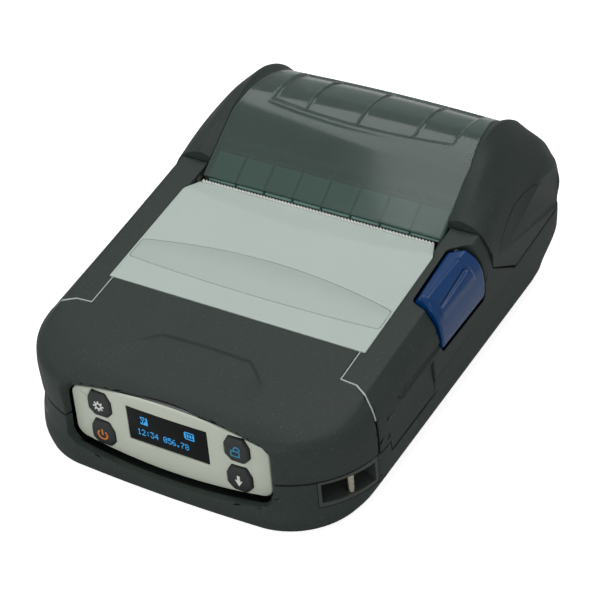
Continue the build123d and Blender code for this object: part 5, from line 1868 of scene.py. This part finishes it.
        def strip(name: str, y: tuple, depth: tuple, x: tuple) -> Piece:
            """Bar between two places along the slope, two depths under it and two places across."""
            (a, b), (high, low) = y, depth
            corners = ((a, high), (b, high), (b, low), (a, low))
            points = [(at, height + slope * (at - front) - d) for at, d in corners]
            return side_cut(name, points, *x)

        pitch = self.guide_pitch
        bar = strip("guide_ribs", (25.8, 27.0), (2.5, 2.85), (-41.2, 41.2))
        sheet = strip("guide_sheet", (17.6, 26.4), (2.65, 2.8), (-41.4, 41.4))
        ribs, pads = pitch * np.arange(-4, 5), pitch * np.arange(-4, 4)
        join(bar, [strip("rib", (17.1, 30.8), (2.45, 2.85), (x - 0.4, x + 0.4)) for x in ribs])
        join(sheet, [strip("pad", (20.6, 24.9), (2.5, 2.7), (x + 1.5, x + 8.0)) for x in pads])
        for piece, finish in ((bar, "teal"), (sheet, "guide")):
            soften(piece, 0.06)
            dress(piece, "window_plastic", carrier=Carrier.LID, finish=finish)

    def build(self) -> None:
        """Make the frame, the window and the guide under it."""
        self.frame()
        self.glass()
        self.comb()


DRAWINGS = {  # dots of the characters that the display shows, row by row
    "0": ".###. #...# #..## #.#.# ##..# #...# .###.",
    "1": "..#.. .##.. ..#.. ..#.. ..#.. ..#.. .###.",
    "2": ".###. #...# ....# ...#. ..#.. .#... #####",
    "3": "##### ...#. ..#.. ...#. ....# #...# .###.",
    "4": "...#. ..##. .#.#. #..#. ##### ...#. ...#.",
    "5": "##### #.... ####. ....# ....# #...# .###.",
    "6": "..##. .#... #.... ####. #...# #...# .###.",
    "7": "##### ....# ...#. ..#.. .#... .#... .#...",
    "8": ".###. #...# #...# .###. #...# #...# .###.",
    " ": "..... ..... ..... ..... ..... ..... .....",
    ":": "..... ..#.. ..#.. ..... ..#.. ..#.. .....",
    ".": "..... ..... ..... ..... ..... .##.. .##..",
    "signal": "#####.## #...#.## .#.#..## ..#...## ..#.#### #.#.#### ########",
    "battery": ".########## ##........# ##.##.##.## ##.##.##.## ##.##.##.## ##........# "
               ".##########",
}


@dataclass(frozen=True)
class Display:
    """Bezel, seal, lens, keys and what the display shows."""

    pitch: float = 0.245  # distance between dots across
    stretch: float = 1.3  # how many times that they are apart upwards
    lens_depths: tuple = (-73.45, -72.45)  # places of the lens's faces
    dot_front: float = -73.5

    def plate(self) -> None:
        """Make the bezel plate with its key holes and display opening."""
        piece = BEZEL.bowed("display_surround", BEZEL.outline(), BEZEL.face, 0.45)
        holes = [
            BEZEL.key_outline(x, z, 0.25) for x in (-BEZEL.key_x, BEZEL.key_x)
            for z in BEZEL.key_rows
        ]
        holes.append(BEZEL.screen(0.12, 0.3))
        carve(piece, [prism("hole", hole, Axis.Y, *BEZEL.hole_depths) for hole in holes])
        soften(piece, 0.12, 50)
        dress(piece, "bezel_plastic", ["display_bezel"])

    def lens(self) -> None:
        """Make the black lens."""
        piece = prism("display_window", BEZEL.screen(0, 0.25), Axis.Y, *self.lens_depths)
        soften(piece, 0.15)
        dress(piece, "display_glass", ["display_lens"])

    def marks(self) -> None:
        """Lit dots of the display: a row of plain digits, a signal sign and a battery sign.

        Each character is a drawing of dots, and each dot becomes a small box.
        """
        pitch = self.pitch
        signs = [(sign, -10.4 + 6 * k * pitch, 19.6, 1.0) for k, sign in enumerate("12:34 056.78")]
        cells = []
        for sign, start, top, scale in [
            *signs, ("signal", -8.9, 24.3, 1.25), ("battery", 5.9, 24.3, 1.25),
        ]:
            bits = np.array([[spot == "#" for spot in line] for line in DRAWINGS[sign].split()])
            r, c = np.nonzero(bits)
            x, z = start + c * scale * pitch, top - r * pitch * self.stretch * scale
            cells.append(np.stack([x, z, np.full(len(r), scale)], 1))
        dots = np.concatenate(cells)
        corner = np.array(box_corners((-0.5, 0.5), (-0.62, 0.62))) * pitch * 0.94
        flat = dots[:, None, :2] + corner * dots[:, 2][:, None, None]
        front = np.full(flat.shape[:2], self.dot_front)
        near = np.stack([flat[..., 0], front, flat[..., 1]], axis=-1)
        points = np.concatenate([near, near + (0, 0.1, 0)], axis=1)
        base = np.arange(len(dots))[:, None, None] * 8
        box = np.array([
            (0, 1, 2, 3), (7, 6, 5, 4), (0, 4, 5, 1), (1, 5, 6, 2), (2, 6, 7, 3), (3, 7, 4, 0),
        ])
        faces = (base + box).reshape(-1, 4).tolist()
        piece = mesh_of("display_marks", points.reshape(-1, 3), faces)
        dress(piece, "display_glass", finish="dots")

    def seal(self) -> None:
        """Make the glossy channel round the bezel: a rounded ledge that fills the gap."""
        piece = BEZEL.bowed("bezel_channel", BEZEL.mouth(0.06), BEZEL.face + 0.5, 0.1)
        carve(piece, [prism("inside", BEZEL.outline(0.06), Axis.Y, *BEZEL.seal_depths)])
        soften(piece, 0.05, 50)
        dress(piece, "seal_rubber", ["bezel_seal"])

    def key(self, carrier: Carrier, x: float, z: float) -> None:
        """Make one key: a bowed octagon cap with a soft edge, and its flange behind the bezel.

        Args:
            carrier: Body of the key.
            x: Its middle.
            z: Height of its middle.
        """
        face, node = BEZEL.key_face(x), f"{carrier.value}_key"
        cap, flange = BEZEL.key_outline(x, z), BEZEL.key_outline(x, z, 0.5)
        centre = cap.mean(axis=0)
        rings = [flange, flange, cap, cap, cap + (centre - cap) * 0.03]
        rings += [centre + (cap - centre) * share for share in (0.9, 0.78, 0.4, 0.05)]
        depths = (4.25, 3.45, 3.45, 0.75, 0.42, 0.16, 0.02, 0.06, 0.08)
        rows = [lay(ring, Axis.Y, face + depth) for ring, depth in zip(rings, depths)]
        piece = tube(f"{node}_cap", np.stack(rows))
        soften(piece, 0.12, 50)
        dress(piece, "key_rubber", [node], carrier, 50)

    def build(self) -> None:
        """Make everything on the display face."""
        self.plate()
        self.lens()
        self.marks()
        self.seal()
        x, (upper, lower) = BEZEL.key_x, BEZEL.key_rows
        for carrier, kx, kz, finish in (
            (Carrier.SETUP, -x, upper, "white"), (Carrier.POWER, -x, lower, "orange"),
            (Carrier.LOCK, x, upper, "blue"), (Carrier.FEED, x, lower, "white"),
        ):
            self.key(carrier, kx, kz)
            Icon(carrier, kx, kz, finish).build()


@dataclass(frozen=True)
class Icon:
    """Printed sign on a key, a thin inlay flush with its face."""

    carrier: Carrier  # key that it is on
    x: float  # middle of the key
    z: float  # height of the key's middle
    finish: str  # its finish
    scale: float = 0.92
    drop: float = 0.4  # how far it lies below the key's middle

    def shapes(self) -> list:
        """Outlines of the sign, each as (outer, inner or None), centred on the origin.

        Returns:
            List of pairs.
        """
        if self.carrier is Carrier.SETUP:
            angle = np.linspace(0, 2 * math.pi, 97)[:-1]
            radius = 1.62 + 0.36 * np.clip(2.2 * np.cos(8 * angle), -1, 1)
            ring = circle(angle)
            return [(ring * radius[:, None], ring * 0.72)]
        if self.carrier is Carrier.POWER:
            ring = circle(np.radians(np.linspace(128, 412, 40)))
            open_ring = np.concatenate([ring * 2.0, ring[::-1] * 1.42])
            return [(open_ring, None), (np.array(box_corners((-0.29, 0.29), (-0.1, 2.3))), None)]
        if self.carrier is Carrier.LOCK:
            body = rounded(box_corners((-1.9, 1.5), (-1.9, 0.5)), 0.5)
            hole = rounded(box_corners((-1.5, 1.1), (-1.5, 0.1)), 0.3)
            ring, middle = circle(np.radians(np.linspace(180, -20, 24))), (0.4, 1.0)
            shackle = np.concatenate([
                [(-0.8, 0.5)], ring * 1.2 + middle, ring[::-1] * 0.8 + middle, [(-0.4, 0.5)],
            ])
            return [(body, hole), (shackle, None)]
        arrow = [(-0.5, 2.0), (0.5, 2.0), (0.5, 0.1), (1.35, 0.1), (0, -2.1), (-1.35, 0.1)]
        return [(np.array([*arrow, (-0.5, 0.1)]), None)]

    def build(self) -> None:
        """Make the inlay from its outlines."""
        face = BEZEL.key_face(self.x)
        place = np.array([self.x, self.z - self.drop])
        pieces = []
        for outer, inner in self.shapes():
            solid = prism("mark", outer * self.scale + place, Axis.Y, face - 0.05, face + 0.35)
            if inner is not None:
                inner = inner * self.scale + place
                carve(solid, [prism("inside", inner, Axis.Y, face - 1, face + 1)])
            pieces.append(solid)
        piece, *rest = pieces
        if rest:
            join(piece, rest)
        piece.name = piece.data.name = f"{self.carrier.value}_sign"
        dress(piece, "key_rubber", carrier=self.carrier, finish=self.finish)


@dataclass(frozen=True)
class Trim:
    """Pale strip on each side that shows all along the stepped gap behind the front cover."""

    edges: tuple = (0.02, 0.36)  # how far its two edges lie behind the cover's own edge
    proud: float = 0.05  # how far it stands out of the body
    thickness: float = 1.4
    low: float = 29.6  # height above which it shows

    def build(self) -> None:
        """Make the strips: the skin of the upper form, kept inside a narrow ribbon."""
        body = UpperCase()
        near, far = (body.edge_line(edge) for edge in self.edges)
        ribbon = np.concatenate([near, far[::-1]])
        for side in Side:
            piece = tube(f"{side.name.lower()}_pale_strip", body.surface(-self.proud, -self.proud))
            inside = body.room("inside", self.thickness, self.thickness, 3.0)
            carve(piece, [inside], plan_cut("ribbon", ribbon * (side.value, 1), self.low))
            dress(piece, "light_panel", finish="trim")


def carried_over() -> None:
    """Give every frame node that still shows its own finish or that of its slot."""
    slots = {entry["node"]: entry["material_slot"] for entry in frame["record"]["subparts"]}
    for name, node in frame["nodes"].items():
        finish = MATERIALS[SPECIAL.get(name) or slots.get(name, "inner_plastic")]
        for place in node.material_slots:
            place.material = finish
        if not node.material_slots:
            node.data.materials.append(finish)


@dataclass(frozen=True)
class Studio:
    """Floor, soft lamps, pale surroundings and the camera."""

    azimuth: float = 32.874  # camera's bearing in degrees
    elevation: float = 37.473  # camera's height above the horizon in degrees
    roll: float = -5.0  # camera's turn about its own axis in degrees
    focal: float = 2120.0  # focal length in pixels of the picture
    pixels: float = 600  # width of the picture
    sensor: float = 36.0
    offset: tuple = (-35.808, 54.528, 613.8)  # place of the target in the camera's own axes
    shift: float = 73.0  # distance from the printer's middle to the target along Y
    rings: tuple = (5, 300, 1500, 4000)  # radii of the floor's rings
    spokes: int = 64

    def camera(self) -> None:
        """Place the camera from its angles, so that a point p lands at R (p + shift) + offset."""
        a, e, t = (math.radians(v) for v in (self.azimuth, self.elevation, self.roll))
        ahead = np.array([-math.sin(a) * math.cos(e), math.cos(a) * math.cos(e), -math.sin(e)])
        right = np.array([math.cos(a), math.sin(a), 0])
        rows = np.stack([right, np.cross(ahead, right), ahead])
        roll = [(math.cos(t), -math.sin(t), 0), (math.sin(t), math.cos(t), 0), (0, 0, 1)]
        turn = np.array(roll) @ rows
        spot = -turn.T @ np.array(self.offset) - (0, self.shift, 0)
        data = bpy.data.cameras.new("camera")
        data.sensor_width, data.lens = self.sensor, self.focal / self.pixels * self.sensor
        data.clip_start, data.clip_end = 0.01, 20
        eye = linked("camera", data)
        columns = np.stack([turn[0], -turn[1], -turn[2], spot * MM], axis=1)
        eye.matrix_world = Matrix([*columns.tolist(), (0, 0, 0, 1)])
        bpy.context.scene.camera = eye

    def lamp(
        self, name: str, spot: tuple, size: float, power: float, mirrored: bool = True,
    ) -> None:
        """Square soft lamp that looks at the printer, shown or not by glossy faces.

        Args:
            name: Name of the lamp.
            spot: Its place in metres.
            size: Its width in metres.
            power: Its power in watts.
            mirrored: Whether glossy faces show it.
        """
        data = bpy.data.lights.new(name, "AREA")
        data.size, data.energy = size, power
        item = linked(name, data)
        way = Vector((0, 0, 0.02)) - Vector(spot)
        item.location, item.rotation_euler = spot, way.to_track_quat("-Z", "Y").to_euler()
        item.visible_glossy = mirrored

    def floor(self) -> None:
        """Wide pale floor that shows nearly white to the camera and keeps the shadow."""
        ring = circle(np.linspace(0, 2 * math.pi, self.spokes, endpoint=False))
        flat = np.concatenate([ring * radius for radius in self.rings])
        faces = quads(len(self.rings), self.spokes, True).tolist() + [list(range(self.spokes))]
        ground = mesh_of("ground", lay(flat, Axis.Z, 0.0), faces)
        material, wires, shader = blank("pale_floor")
        noise = wires.add("TexNoise", {"Scale": 8.0}, "Fac")
        seen = wires.add("LightPath", {}, "Is Camera Ray")
        wires.feed(shader, {
            "Base Color": wires.mix(noise, (0.62, 0.62, 0.62, 1), (0.65, 0.65, 0.65, 1)),
            "Roughness": 0.9, "Emission Color": (1, 1, 1, 1),
            "Emission Strength": wires.add("Math", {0: seen, 1: 0.84}, operation="MULTIPLY"),
        })
        ground.data.materials.append(material)
        ground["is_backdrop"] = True

    def build(self) -> None:
        """Set up the view, the lamps, the floor and the surroundings."""
        scene = bpy.context.scene
        scene.view_settings.view_transform = "Standard"
        self.camera()
        self.floor()
        self.lamp("over", (-0.1, 0.25, 0.9), 0.9, 4.2)
        self.lamp("left", (-0.85, -0.35, 0.6), 0.7, 2.2, False)
        self.lamp("right", (0.95, -0.4, 0.42), 0.7, 1.8, False)
        self.lamp("front", (-0.1, -1.05, 0.3), 0.7, 2.3)
        world = bpy.data.worlds.new("surroundings")
        scene.world = world
        world.use_nodes = True
        wires = Wiring(world.node_tree)
        seen = wires.add("LightPath", {}, "Is Camera Ray")
        wires.feed(world.node_tree.nodes["Background"], {
            "Color": (1, 1, 1, 1), "Strength": wires.spread(seen, 0.32, 1.0),
        })


def main() -> None:
    """Build the printer's pieces in order around the frame, and work out the sizes before and
    after.
    """
    logging.basicConfig(level=logging.INFO, format="%(message)s")
    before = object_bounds()
    MATERIALS.update({name: finish.build() for name, finish in FINISHES.items()})
    Studio().build()
    carried_over()
    for part in (LowerCase(), UpperCase(), CONTROL, BUTTON, Lid(), Display(), Trim()):
        log.info("building %s", type(part).__name__)
        part.build()
    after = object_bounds()
    plain = [[[float(v) for v in corner] for corner in box] for box in (before, after)]


if __name__ == "__main__":
    main()
